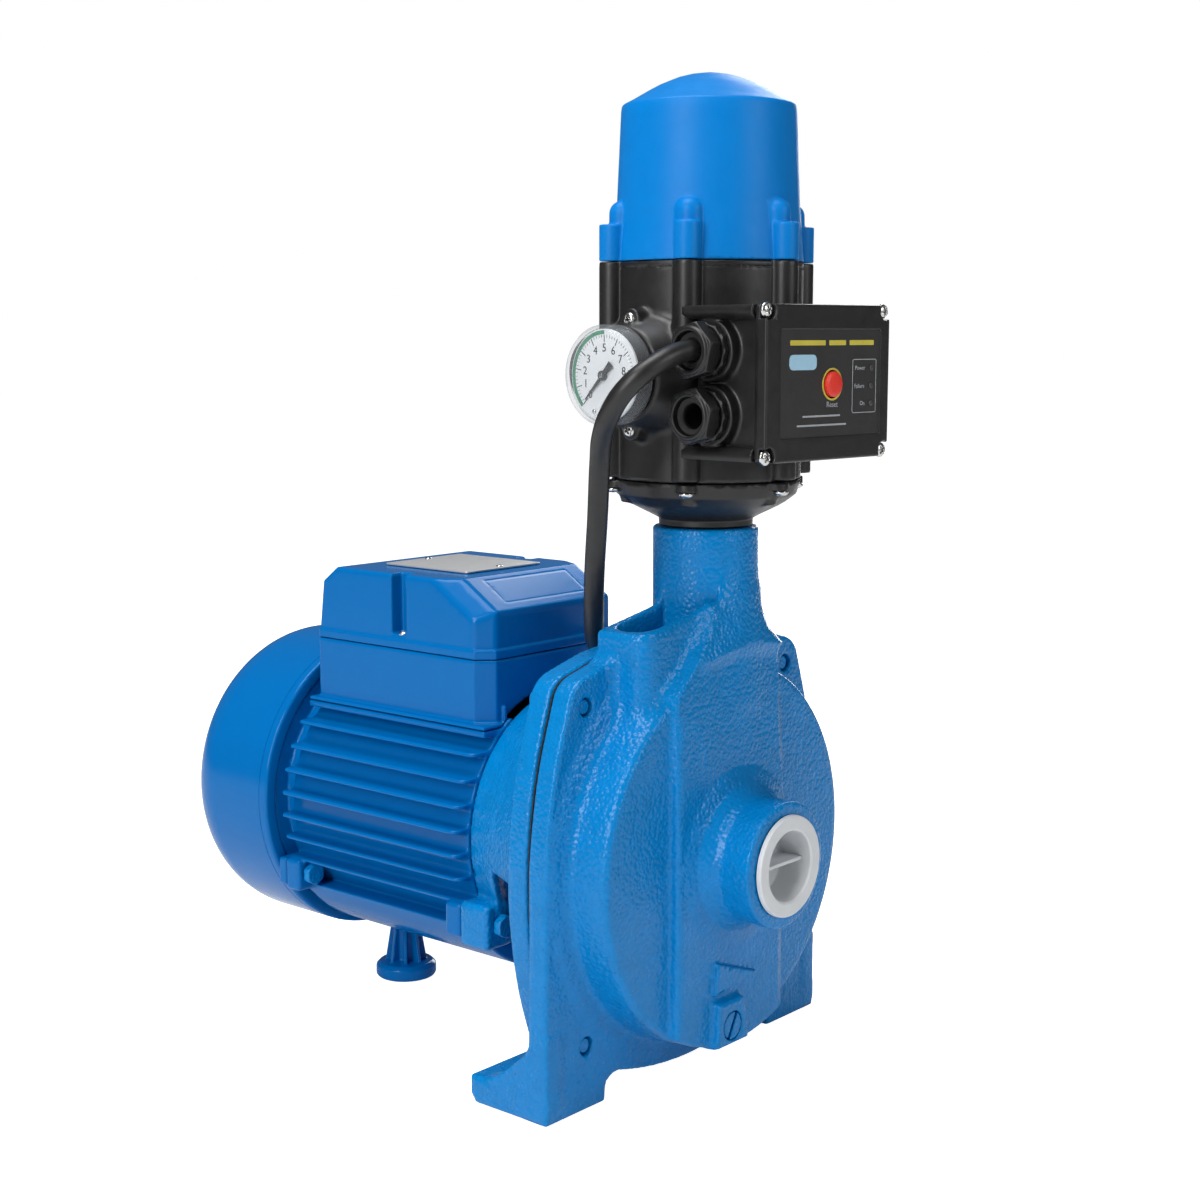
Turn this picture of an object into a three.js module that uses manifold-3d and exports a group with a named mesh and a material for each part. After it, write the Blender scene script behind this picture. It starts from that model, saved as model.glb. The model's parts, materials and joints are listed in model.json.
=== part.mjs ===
// Centrifugal water pump with a finned electric motor and an automatic pump control on its outlet.
// Millimetres, +Z up. The suction port faces -Y and the motor runs back along +Y.
import * as THREE from "three";
import { mergeVertices } from "three/addons/utils/BufferGeometryUtils.js";
import Module from "manifold-3d";

const wasm = await Module();
wasm.setup();

// ---------------------------------------------------------------- driving dimensions
const GAP = 0.3; // between pieces that touch
const AXIS_HEIGHT = 98; // shaft centre above the base
const FOOT_HALF_WIDTH = 95; // outer side of a casing foot
const FOOT_INNER_X = 58;
const FOOT_DEPTH = 42.5;
const FLANGE_REAR_Y = 10; // the casing flange spans y 0 to 10
const BOLT_X = 69; // casing bolt square, half widths
const BOLT_Z = 71;
const DRUM_RADIUS = 82;
const DRUM_FRONT_Y = -20;
const SLAB_FRONT_Y = -26;
const CHAMBER_RADIUS = 76;
const CHAMBER_FRONT_Y = -14;
const SUCTION_FACE_Y = -50.1;
const SUCTION_BOSS_RADIUS = 26.8;
const PORT_RADIUS = 16.8; // one inch pipe thread
const PIPE_X = 8.5; // outlet pipe axis
const PIPE_RADIUS = 22.3;
const PIPE_TOP_Z = 236.8;
const DRAIN_X = -8.5;
const DRAIN_Z = 26;
const BRACKET_FRONT_Y = FLANGE_REAR_Y + 1.3;
const BRACKET_PLATE_REAR_Y = 22;
const MOTOR_FRONT_Y = 75.5;
const MOTOR_REAR_Y = 191.5;
const FIN_RADIUS = 69.3;
const FRAME_RADIUS = 60.8;
const FRAME_BORE = 58.1;
const FIN_PITCH = 10.7;
const STACK_FRONT_Y = 98; // laminated core
const STACK_REAR_Y = 166;
const LUG_X = 59.5; // bolts that hold bracket, frame and rear shield together
const LUG_Z = 64.5;
const COVER_RADIUS = 72.8; // fan cover
const COVER_FRONT_Y = 197.5;
const COVER_REAR_Y = 260;
const BOX_HALF_WIDTH = 46; // terminal box
const BOX_FRONT_Y = 78.5;
const BOX_REAR_Y = 190.5;
const BOX_BOTTOM_Z = 145.6;
const BOX_SEAM_Z = 175.3;
const BOX_TOP_Z = 209.6;
const CONTROL_TURN = THREE.MathUtils.degToRad(-4); // the control unit stands a little turned
const BODY_RADIUS = 40;
const BOSS_CIRCLE = 41.5;
const BOSS_RADIUS = 5.5;
const BODY_BOTTOM = 20.5; // control heights are above the outlet pipe
const BODY_TOP = 110;
const CAP_TOP = 187.6;
const PANEL_BOTTOM = 30.7; // electronics box
const PANEL_TOP = 92.2;
const PANEL_FRONT = 66; // distance of the box front from the control axis
const PANEL_CENTRE_X = -1;
const PANEL_HALF_WIDTH = 39.6;
const GLAND_FORWARD = 36.5;
const GLAND_HEIGHTS = { upper: 74.2, lower: 48.7 };
const GAUGE_HEIGHT = 64.2;
const CABLE_RADIUS = 4.25;
const SCREW_INSET = 2.4; // screws of the electronics box, from its front's edges

// ---------------------------------------------------------------- materials
const finish = (color, roughness, metalness = 0) =>
  new THREE.MeshStandardMaterial({ color, roughness, metalness });
const castBlue = finish(0x1f78c0, 0.45);
const motorBlue = finish(0x0a66b4, 0.3);
const capBlue = finish(0x1b82dc, 0.4);
const blackPlastic = finish(0x1c1c1e, 0.45);
const steel = finish(0xb9bcc0, 0.3, 1);
const darkSteel = finish(0x6c7076, 0.4, 1);
const brass = finish(0xb8924a, 0.35, 1);
const copper = finish(0xb06a3a, 0.35, 1);
const whitePlastic = finish(0xe2e4e6, 0.4);
const rubber = finish(0x222222, 0.8);
const redPlastic = finish(0xd83a2c, 0.35);
const greenBoard = finish(0x1d6b3a, 0.5);
const clearPlastic = finish(0xe9f1f4, 0.05);
const greyPlate = finish(0xc9ccd0, 0.35, 0.8);

// ---------------------------------------------------------------- solids
// A closed geometry as a manifold solid.
function solid(geometry) {
  const bare = geometry.clone();
  bare.deleteAttribute("normal");
  bare.deleteAttribute("uv");
  const merged = mergeVertices(bare, 1e-4);
  const vertProperties = new Float32Array(merged.attributes.position.array);
  const triVerts = new Uint32Array(merged.index.array);
  const made = new wasm.Manifold(new wasm.Mesh({ numProp: 3, vertProperties, triVerts }));
  if (made.volume() > 0) return made;
  // The profile ran the other way round, so every face is turned over.
  for (let i = 0; i < triVerts.length; i += 3) {
    [triVerts[i + 1], triVerts[i + 2]] = [triVerts[i + 2], triVerts[i + 1]];
  }
  return new wasm.Manifold(new wasm.Mesh({ numProp: 3, vertProperties, triVerts }));
}

const join = (...parts) => parts.reduce((all, part) => all.add(part));
const cut = (body, ...tools) => tools.reduce((rest, tool) => rest.subtract(tool), body);

// A named mesh from a solid, set in a group.
function place(group, name, body, material) {
  const made = body.getMesh();
  const geometry = new THREE.BufferGeometry();
  geometry.setAttribute("position", new THREE.BufferAttribute(made.vertProperties, 3));
  geometry.setIndex(new THREE.BufferAttribute(made.triVerts, 1));
  geometry.computeVertexNormals();
  const mesh = new THREE.Mesh(geometry, material);
  mesh.name = name;
  group.add(mesh);
  return mesh;
}

function block([x0, y0, z0], [x1, y1, z1]) {
  const box = new THREE.BoxGeometry(x1 - x0, y1 - y0, z1 - z0);
  box.translate((x0 + x1) / 2, (y0 + y1) / 2, (z0 + z1) / 2);
  return solid(box);
}

// Turns a shape made along +Z so that it runs along another axis; "y" maps local (x, y, z) to (x, z, -y).
const TURNS = { x: ["rotateY", Math.PI / 2], y: ["rotateX", -Math.PI / 2], z: ["rotateZ", 0] };
function along(axis, geometry) {
  const [method, angle] = TURNS[axis];
  return geometry[method](angle);
}

// A body of revolution: the profile is a list of [radius, height along the axis].
function turned(axis, profile, sides = 28, at = [0, 0, 0]) {
  const points = profile.map(([r, h]) => new THREE.Vector2(r, h));
  const geometry = new THREE.LatheGeometry(points, sides);
  geometry.rotateX(Math.PI / 2);
  along(axis, geometry);
  geometry.translate(...at);
  return solid(geometry);
}

// A round bar between two heights on an axis. The centre is given in the plane across the axis.
function bar(axis, radius, from, to, [a, b] = [0, 0], sides = 20, endRadius = radius) {
  const geometry = new THREE.CylinderGeometry(endRadius, radius, to - from, sides);
  geometry.rotateX(Math.PI / 2);
  geometry.translate(0, 0, (from + to) / 2);
  along(axis, geometry);
  const shift = { x: [0, a, b], y: [a, 0, b], z: [a, b, 0] }[axis];
  geometry.translate(...shift);
  return solid(geometry);
}

const ring = (axis, outer, inner, from, to, at = [0, 0], sides = 28) =>
  cut(bar(axis, outer, from, to, at, sides), bar(axis, inner, from - 1, to + 1, at, sides));

// A plate whose outline is drawn in the plane across the axis: x-z for "y", y-z for "x", x-y for "z".
function plate(axis, shape, from, to, curveSegments = 6) {
  const geometry = new THREE.ExtrudeGeometry(shape, {
    depth: to - from,
    bevelEnabled: false,
    curveSegments,
  });
  if (axis === "y") {
    geometry.rotateX(Math.PI / 2);
    geometry.translate(0, to, 0);
  } else if (axis === "x") {
    geometry.applyMatrix4(
      new THREE.Matrix4().makeBasis(
        new THREE.Vector3(0, 1, 0),
        new THREE.Vector3(0, 0, 1),
        new THREE.Vector3(1, 0, 0),
      ),
    );
    geometry.translate(from, 0, 0);
  } else {
    geometry.translate(0, 0, from);
  }
  return solid(geometry);
}

function outline(points) {
  const shape = new THREE.Shape();
  points.forEach(([x, y], i) => (i ? shape.lineTo(x, y) : shape.moveTo(x, y)));
  shape.closePath();
  return shape;
}

function roundedRectangle(x0, y0, x1, y1, r) {
  const shape = new THREE.Shape();
  shape.moveTo(x0 + r, y0);
  shape.lineTo(x1 - r, y0);
  shape.absarc(x1 - r, y0 + r, r, -Math.PI / 2, 0, false);
  shape.lineTo(x1, y1 - r);
  shape.absarc(x1 - r, y1 - r, r, 0, Math.PI / 2, false);
  shape.lineTo(x0 + r, y1);
  shape.absarc(x0 + r, y1 - r, r, Math.PI / 2, Math.PI, false);
  shape.lineTo(x0, y0 + r);
  shape.absarc(x0 + r, y0 + r, r, Math.PI, 1.5 * Math.PI, false);
  return shape;
}

// A large block beyond a plane, to cut a bevel with.
function beyond(point, normal) {
  const geometry = new THREE.BoxGeometry(200, 200, 60);
  geometry.translate(0, 0, 30);
  const facing = new THREE.Vector3(...normal).normalize();
  geometry.applyQuaternion(new THREE.Quaternion().setFromUnitVectors(new THREE.Vector3(0, 0, 1), facing));
  geometry.translate(...point);
  return solid(geometry);
}

const hexagon = (axis, acrossFlats, from, to, at = [0, 0]) =>
  bar(axis, acrossFlats / Math.sqrt(3), from, to, at, 6);

// A coil spring of square wire with open ends, standing on +Z.
function coil(radius, wire, from, to, turns, stepsPerTurn = 9) {
  class Helix extends THREE.Curve {
    getPoint(t, target = new THREE.Vector3()) {
      const angle = 2 * Math.PI * turns * t;
      const height = THREE.MathUtils.lerp(from + wire, to - wire, t);
      return target.set(radius * Math.cos(angle), radius * Math.sin(angle), height);
    }
  }
  const section = outline(
    [0, 1, 2, 3].map((k) => [wire * Math.cos((k * Math.PI) / 2), wire * Math.sin((k * Math.PI) / 2)]),
  );
  const geometry = new THREE.ExtrudeGeometry(section, {
    steps: turns * stepsPerTurn,
    extrudePath: new Helix(),
    bevelEnabled: false,
  });
  return solid(geometry);
}

// ---------------------------------------------------------------- groups
const pump = new THREE.Group();
const controlUnit = new THREE.Group();
controlUnit.position.set(PIPE_X, 0, PIPE_TOP_Z);
controlUnit.rotation.z = CONTROL_TURN;
pump.add(controlUnit);

// The shape shared by the casing flange, gasket and bracket: upright sides and an ear at each top corner.
const FLANGE_SIDE_X = 93.4;
function upperOutline(shape) {
  shape.lineTo(FLANGE_SIDE_X, AXIS_HEIGHT + 8);
  shape.quadraticCurveTo(91.5, 136, 84, 158);
  shape.lineTo(79.5, 172);
  shape.quadraticCurveTo(77, 179.5, 69, 181.5);
  shape.lineTo(50, 186.5);
  shape.quadraticCurveTo(25, 190.5, 0, 190.5);
  shape.quadraticCurveTo(-25, 190.5, -50, 186.5);
  shape.lineTo(-69, 181.5);
  shape.quadraticCurveTo(-77, 179.5, -79.5, 172);
  shape.lineTo(-84, 158);
  shape.quadraticCurveTo(-91.5, 136, -FLANGE_SIDE_X, AXIS_HEIGHT + 8);
}

// The bracket and gasket repeat the upper outline upside down below the shaft.
function fourEarOutline() {
  const upper = new THREE.Shape();
  upper.moveTo(FLANGE_SIDE_X, AXIS_HEIGHT);
  upperOutline(upper);
  const points = upper.getPoints(3).filter((p) => p.y > AXIS_HEIGHT + 1);
  const lower = points
    .map((p) => new THREE.Vector2(p.x, 2 * AXIS_HEIGHT - p.y))
    .reverse();
  return new THREE.Shape([...points, ...lower]);
}

const corners = [
  [-BOLT_X, AXIS_HEIGHT + BOLT_Z],
  [BOLT_X, AXIS_HEIGHT + BOLT_Z],
  [-BOLT_X, AXIS_HEIGHT - BOLT_Z],
  [BOLT_X, AXIS_HEIGHT - BOLT_Z],
];
const onShaft = [0, AXIS_HEIGHT];
const BOLT_HOLE = 3.4;

// ---------------------------------------------------------------- pump casing
function casingFoot(side) {
  const inner = side * FOOT_INNER_X;
  const outer = side * FOOT_HALF_WIDTH;
  const [x0, x1] = [Math.min(inner, outer), Math.max(inner, outer)];
  const sole = outline([
    [0, 0],
    [39.5, 0],
    [FOOT_DEPTH, 4],
    [FOOT_DEPTH, 12],
    [0, 12],
  ]);
  const gusset = outline([
    [0, 5],
    [32, 5],
    [31.5, 12.8],
    [22, 19],
    [9, 30.5],
    [0, 36],
  ]);
  const webSpan = side > 0 ? [x1 - 9, x1] : [x0, x0 + 9];
  const anchorHole = bar("z", 5, -1, 14, [side * 77, 27], 20);
  return cut(join(plate("x", sole, x0, x1), plate("x", gusset, ...webSpan)), anchorHole);
}

function casingFlange() {
  const shape = new THREE.Shape();
  shape.moveTo(FOOT_HALF_WIDTH, 0);
  upperOutline(shape);
  shape.lineTo(-FOOT_HALF_WIDTH, 0);
  shape.lineTo(-FOOT_INNER_X, 0);
  shape.lineTo(-FOOT_INNER_X + 1, 6);
  shape.quadraticCurveTo(-FOOT_INNER_X + 3, 10.5, -48, 10.2);
  shape.quadraticCurveTo(0, -3.6, 48, 10.2);
  shape.quadraticCurveTo(FOOT_INNER_X - 3, 10.5, FOOT_INNER_X - 1, 6);
  shape.lineTo(FOOT_INNER_X, 0);
  shape.closePath();
  return plate("y", shape, 0, FLANGE_REAR_Y, 4);
}

// The round volute drum with a rolled front edge and a soft root on the flange.
function casingDrum() {
  return turned(
    "y",
    [
      [0, 5],
      [DRUM_RADIUS + 5, 5],
      [DRUM_RADIUS + 4, -1],
      [DRUM_RADIUS, -8],
      [DRUM_RADIUS - 2.5, -18],
      [DRUM_RADIUS - 6, DRUM_FRONT_Y],
      [0, DRUM_FRONT_Y - 1.5],
    ],
    36,
    [0, 0, AXIS_HEIGHT],
  );
}

// The raised slab that carries the suction boss and runs up into the outlet pipe.
function casingSlab() {
  const left = -42;
  const right = 33;
  const shape = new THREE.Shape();
  shape.moveTo(left, 10);
  shape.lineTo(right, 10);
  shape.lineTo(right, 180);
  shape.quadraticCurveTo(right - 1, 189, PIPE_X + 15.5, 192);
  shape.lineTo(PIPE_X + 13.5, 198);
  shape.lineTo(PIPE_X + 9, 207);
  shape.lineTo(PIPE_X - PIPE_RADIUS, 208);
  shape.quadraticCurveTo(PIPE_X - PIPE_RADIUS - 5, 192, left, 172);
  shape.closePath();
  const raised = plate("y", shape, SLAB_FRONT_Y, -4);
  const keptBelow = join(
    bar("y", DRUM_RADIUS + 0.6, -60, 20, onShaft, 36),
    block([-60, -60, AXIS_HEIGHT], [60, 20, 230]),
  );
  // The slab leans back to the pipe's front above the drum.
  const lean = outline([
    [SLAB_FRONT_Y - 6, 178],
    [SLAB_FRONT_Y, 178],
    [-21, 209],
    [-21, 220],
    [SLAB_FRONT_Y - 6, 220],
  ]);
  return cut(raised.intersect(keptBelow), plate("x", lean, -70, 70));
}

// The shoulder beside the pipe, with a deep pocket open at its sloping top.
const SHOULDER_LEFT_X = -53;
const SHOULDER_SLOPE = 0.184;
const POCKET_FLOOR_Z = 181; // above the pumping chamber
const shoulderTop = (x) => 197.4 + SHOULDER_SLOPE * (x - SHOULDER_LEFT_X);
function casingShoulder() {
  const plan = new THREE.Shape();
  plan.moveTo(PIPE_X, 9.5);
  plan.lineTo(SHOULDER_LEFT_X + 3, 9.5);
  plan.quadraticCurveTo(SHOULDER_LEFT_X, 9.5, SHOULDER_LEFT_X, 6.5);
  plan.lineTo(SHOULDER_LEFT_X, -9);
  plan.quadraticCurveTo(SHOULDER_LEFT_X + 0.5, -16.8, SHOULDER_LEFT_X + 9, -17);
  plan.lineTo(PIPE_X, -17);
  plan.closePath();
  const above = outline([
    [-70, shoulderTop(-70)],
    [30, shoulderTop(30)],
    [30, 230],
    [-70, 230],
  ]);
  return cut(plate("z", plan, 150, 215, 4), plate("y", above, -40, 30));
}

function shoulderPocket() {
  const plan = new THREE.Shape();
  plan.moveTo(-12, 5.5);
  plan.lineTo(-39, 5.5);
  plan.absarc(-39, -4, 9.5, Math.PI / 2, 1.5 * Math.PI, false);
  plan.lineTo(-25, -13.5);
  plan.lineTo(-17, -10.5);
  plan.lineTo(-12, -1);
  plan.closePath();
  return plate("z", plan, POCKET_FLOOR_Z, 220, 4);
}

function outletPipe() {
  const flare = [
    [PIPE_RADIUS, 212],
    [PIPE_RADIUS + 1.2, 203],
    [PIPE_RADIUS + 2.5, 198],
    [PIPE_RADIUS + 4.5, 194],
    [PIPE_RADIUS + 7.5, 190],
    [PIPE_RADIUS + 12, 186],
    [PIPE_RADIUS + 15, 184],
  ];
  const profile = [
    [0, 160],
    [PIPE_RADIUS + 2, 160],
    [PIPE_RADIUS + 2, 184],
    ...flare.reverse(),
    [PIPE_RADIUS, PIPE_TOP_Z - 1],
    [PIPE_RADIUS - 1, PIPE_TOP_Z],
    [0, PIPE_TOP_Z],
  ];
  const pipe = turned("z", profile, 28, [PIPE_X, 0, 0]);
  const behind = block([-60, FLANGE_REAR_Y, 150], [80, 60, 192.5]);
  const inFront = block([-60, -60, 150], [80, SLAB_FRONT_Y, 215]);
  return cut(pipe, behind, inFront);
}

function suctionBoss() {
  return turned(
    "y",
    [
      [0, -16],
      [36, -16],
      [36, SLAB_FRONT_Y - 0.6],
      [33, SLAB_FRONT_Y - 2],
      [30, SLAB_FRONT_Y - 4],
      [28, SLAB_FRONT_Y - 7.5],
      [SUCTION_BOSS_RADIUS, SLAB_FRONT_Y - 8],
      [SUCTION_BOSS_RADIUS, SUCTION_FACE_Y + 0.8],
      [SUCTION_BOSS_RADIUS - 0.8, SUCTION_FACE_Y],
      [0, SUCTION_FACE_Y],
    ],
    26,
    [0, 0, AXIS_HEIGHT],
  );
}

const DRAIN_PAD_FRONT_Y = -30;
function drainPad() {
  const shape = outline([
    [DRAIN_X - 11, 18],
    [DRAIN_X + 11, 18],
    [DRAIN_X + 10.5, 26],
    [DRAIN_X + 7.5, 37.5],
    [DRAIN_X - 10, 37.5],
  ]);
  return plate("y", shape, DRAIN_PAD_FRONT_Y, -15);
}

// A raised triangle below the suction boss shows which way the shaft turns.
function rotationArrow() {
  const shape = outline([
    [-19, 41],
    [12, 44.5],
    [-17, 55],
  ]);
  return plate("y", shape, SLAB_FRONT_Y - 1.6, SLAB_FRONT_Y + 2);
}

function pumpCasing() {
  const skin = join(
    casingFlange(),
    casingFoot(-1),
    casingFoot(1),
    casingDrum(),
    casingSlab(),
    casingShoulder(),
    outletPipe(),
    suctionBoss(),
    drainPad(),
    rotationArrow(),
  );
  const chamber = bar("y", CHAMBER_RADIUS, CHAMBER_FRONT_Y, FLANGE_REAR_Y + 5, onShaft, 26);
  const wearBore = bar("y", 20.8, -19, CHAMBER_FRONT_Y + 1, onShaft, 26);
  const suctionBore = bar("y", PORT_RADIUS, SUCTION_FACE_Y - 5, -18, onShaft, 26);
  const outletBore = bar("z", PORT_RADIUS, 212, PIPE_TOP_Z + 5, [PIPE_X, 0], 24);
  const outletThroat = block([PIPE_X - 11, -11, 165], [PIPE_X + 11, 4, 213]);
  const drainBore = bar("y", 6.3, DRAIN_PAD_FRONT_Y - 2, CHAMBER_FRONT_Y + 2, [DRAIN_X, DRAIN_Z], 16);
  const boltHoles = corners.map((at) => bar("y", BOLT_HOLE, -3, FLANGE_REAR_Y + 3, at, 10));
  const hollows = [chamber, wearBore, suctionBore, outletBore, outletThroat, drainBore, shoulderPocket()];
  place(pump, "pump_casing", cut(skin, ...hollows, ...boltHoles), castBlue);
}

// A white cup that closes the suction port for transport, with a bar across it to grip.
function suctionPortPlug() {
  const cup = turned(
    "y",
    [
      [0, -37],
      [14.2, -37],
      [15.2, SUCTION_FACE_Y - 1.7],
      [15.9, SUCTION_FACE_Y - 2.3],
      [21.2, SUCTION_FACE_Y - 2.3],
      [21.6, SUCTION_FACE_Y - 1.8],
      [21.6, SUCTION_FACE_Y - GAP],
      [16.5, SUCTION_FACE_Y - GAP],
      [16.5, -36],
      [15.5, -34.5],
      [0, -34.5],
    ],
    24,
    [0, 0, AXIS_HEIGHT],
  );
  const grip = block([-14.8, -47.5, AXIS_HEIGHT - 0.8], [14.8, -36.5, AXIS_HEIGHT + 0.8]);
  place(pump, "suction_port_plug", join(cup, grip), whitePlastic);
}

function drainPlug() {
  const at = [DRAIN_X, DRAIN_Z];
  const slot = block([-1, DRAIN_PAD_FRONT_Y - 3, -8], [1, DRAIN_PAD_FRONT_Y + 2, 8]);
  const turnedSlot = slot.rotate([0, -28, 0]).translate([DRAIN_X, 0, DRAIN_Z]);
  place(pump, "drain_plug", cut(bar("y", 5.9, DRAIN_PAD_FRONT_Y + 0.5, -16, at, 24), turnedSlot), castBlue);
}

function casingGasket() {
  const sheet = plate("y", fourEarOutline(), FLANGE_REAR_Y + GAP, BRACKET_FRONT_Y - GAP);
  const bore = bar("y", CHAMBER_RADIUS + 1, 0, 20, onShaft, 28);
  const lowerCut = block([-60, 0, 0], [60, 20, 12]);
  const holes = corners.map((at) => bar("y", BOLT_HOLE, 0, 20, at, 10));
  place(pump, "casing_gasket", cut(sheet, bore, lowerCut, ...holes), rubber);
}

// ---------------------------------------------------------------- motor bracket
const SEAL_BORE = 17;
const BEARING_BORE = 17.8;
const BEARING_SEAT_Y = 66;
function motorBracket() {
  const flange = cut(
    plate("y", fourEarOutline(), BRACKET_FRONT_Y, BRACKET_PLATE_REAR_Y),
    block([-60, 0, 0], [60, 40, 12]),
  );
  const dish = bar("y", 58, BRACKET_FRONT_Y + 6, 40, onShaft, 28);
  const sealHouse = bar("y", 22, BRACKET_FRONT_Y, 28, onShaft, 28);
  // A bell that narrows from the flange to the motor.
  const wall = 5;
  const outer = [
    [84, BRACKET_PLATE_REAR_Y - 1],
    [78, 33],
    [72.8, 43],
    [67.3, 54],
    [62.5, 66],
    [FRAME_RADIUS - 0.5, MOTOR_FRONT_Y - 0.5],
  ];
  const inner = outer.map(([r, y]) => [r - wall, y]).reverse();
  const bell = turned("y", [...outer, ...inner, outer[0]], 32, [0, 0, AXIS_HEIGHT]);
  // Below the shaft only a strip along the bottom joins the flange to the bearing end.
  const windows = [-1, 1].map((side) => {
    const opening = outline([
      [side * 14, AXIS_HEIGHT - 88],
      [side * 14, AXIS_HEIGHT - 30],
      [side * 40, AXIS_HEIGHT - 9],
      [side * 88, AXIS_HEIGHT - 9],
      [side * 88, AXIS_HEIGHT - 88],
    ]);
    return plate("y", opening, BRACKET_PLATE_REAR_Y, 58);
  });
  const endWall = bar("y", 60.5, 60, 65, onShaft, 28);
  const bearingBoss = bar("y", 24, 60, 77.4, onShaft, 28);
  const lugs = [-1, 1].map((side) => {
    const lug = roundedRectangle(side * LUG_X - 8, LUG_Z - 10.5, side * LUG_X + 8, LUG_Z + 9, 3);
    return plate("y", lug, 58, MOTOR_FRONT_Y - 0.5, 2);
  });
  const lugHoles = [-1, 1].map((side) => bar("y", 3.3, 50, 80, [side * LUG_X, LUG_Z], 8));
  const sealBore = bar("y", SEAL_BORE, 0, 24.3, onShaft, 28);
  const shaftHole = bar("y", 10, 20, 70, onShaft, 18);
  const bearingBore = bar("y", BEARING_BORE, BEARING_SEAT_Y - GAP, 80, onShaft, 28);
  const boltHoles = corners.map((at) => bar("y", BOLT_HOLE, 5, 30, at, 10));
  const frontWall = bar("y", 60, BRACKET_FRONT_Y, BRACKET_FRONT_Y + 6, onShaft, 28);
  const shell = join(cut(flange, dish), sealHouse, frontWall, cut(bell, ...windows));
  const bracket = join(shell, endWall, bearingBoss, ...lugs);
  const holes = [sealBore, shaftHole, bearingBore, ...boltHoles, ...lugHoles];
  place(pump, "motor_bracket", cut(bracket, ...holes), castBlue);
}

function hexBolt(name, at, { headFrom, headTo, shankFrom, shankTo, shank = 3, acrossFlats = 10 }) {
  const head = hexagon("y", acrossFlats, headFrom, headTo, at);
  place(pump, name, join(head, bar("y", shank, shankFrom, shankTo, at, 8)), castBlue);
}

function casingBolts() {
  corners.forEach((at, i) =>
    hexBolt("casing_bolt_" + (i + 1), at, {
      headFrom: BRACKET_PLATE_REAR_Y + GAP,
      headTo: BRACKET_PLATE_REAR_Y + 5,
      shankFrom: 1.5,
      shankTo: BRACKET_PLATE_REAR_Y + 2,
    }),
  );
}

function frameBolts() {
  const small = { acrossFlats: 9.4 };
  [-1, 1].forEach((side, i) => {
    const at = [side * LUG_X, LUG_Z];
    hexBolt("front_frame_bolt_" + (i + 1), at, {
      ...small,
      headFrom: 53.5,
      headTo: 57.7,
      shankFrom: 57,
      shankTo: 84,
    });
    hexBolt("rear_frame_bolt_" + (i + 1), at, {
      ...small,
      headFrom: 177.5,
      headTo: 181.7,
      shankFrom: 181,
      shankTo: 196,
    });
  });
}

// ---------------------------------------------------------------- rotating assembly
const SHAFT_RADIUS = 7;
const IMPELLER_RADIUS = 62;
function impeller() {
  const neckAndShroud = turned(
    "y",
    [
      [15.5, -16],
      [20, -16],
      [20, -10.5],
      [IMPELLER_RADIUS, -8],
      [IMPELLER_RADIUS, -6.5],
      [20, -8.5],
      [15.5, -9],
      [15.5, -16],
    ],
    26,
    [0, 0, AXIS_HEIGHT],
  );
  const backShroud = bar("y", IMPELLER_RADIUS, 1, 3.5, onShaft, 26);
  const hub = bar("y", 12, -6, 9, onShaft, 18);
  const vanes = [];
  const VANES = 6;
  for (let i = 0; i < VANES; i++) {
    const vane = new THREE.Shape();
    const start = (i * 2 * Math.PI) / VANES;
    const spiral = (r, lag) => [r * Math.cos(start - lag), r * Math.sin(start - lag)];
    vane.moveTo(...spiral(17, 0));
    vane.quadraticCurveTo(...spiral(42, 0.25), ...spiral(IMPELLER_RADIUS - 0.5, 0.95));
    vane.lineTo(...spiral(IMPELLER_RADIUS - 0.5, 0.88));
    vane.quadraticCurveTo(...spiral(44, 0.2), ...spiral(17, -0.16));
    vane.closePath();
    const blade = plate("y", vane, -9, 2, 2);
    vanes.push(blade.translate([0, 0, AXIS_HEIGHT]));
  }
  const boreRadius = SHAFT_RADIUS + GAP;
  const bore = bar("y", boreRadius, -10, 20, onShaft, 18);
  const keyway = block([-2.2, -7, AXIS_HEIGHT + 5], [2.2, 10, AXIS_HEIGHT + 9.2]);
  place(pump, "impeller", cut(join(neckAndShroud, backShroud, hub, ...vanes), bore, keyway), brass);
}

function impellerFastening() {
  const nut = cut(hexagon("y", 15, -13.5, -6.9, onShaft), bar("y", 5.3, -20, 0, onShaft, 20));
  place(pump, "impeller_nut", nut, brass);
  place(pump, "impeller_key", block([-1.9, -3, AXIS_HEIGHT + 4.8], [1.9, 6, AXIS_HEIGHT + 8.9]), darkSteel);
}

function shaft() {
  const steps = [
    [0, -16],
    [4.4, -16],
    [5, -15.2],
    [5, -6.6],
    [SHAFT_RADIUS, -6.6],
    [SHAFT_RADIUS, 64],
    [7.45, 64],
    [7.45, 79.3],
    [10, 79.3],
    [10, 185.5],
    [7.45, 185.5],
    [7.45, 202],
    [6, 202],
    [6, 233],
    [5.2, 234],
    [0, 234],
  ];
  const body = turned("y", steps, 16, [0, 0, AXIS_HEIGHT]);
  const keyway = block([-2.2, -3.3, AXIS_HEIGHT + 4.5], [2.2, 6.3, AXIS_HEIGHT + 8]);
  place(pump, "shaft", cut(body, keyway), steel);
}

function mechanicalSeal() {
  place(pump, "seal_rotating_ring", ring("y", 13.5, SHAFT_RADIUS + GAP, 9.3, 19, onShaft, 20), darkSteel);
  place(pump, "seal_seat", ring("y", SEAL_BORE - GAP, 8.3, 19.3, 24, onShaft, 20), whitePlastic);
}

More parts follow.
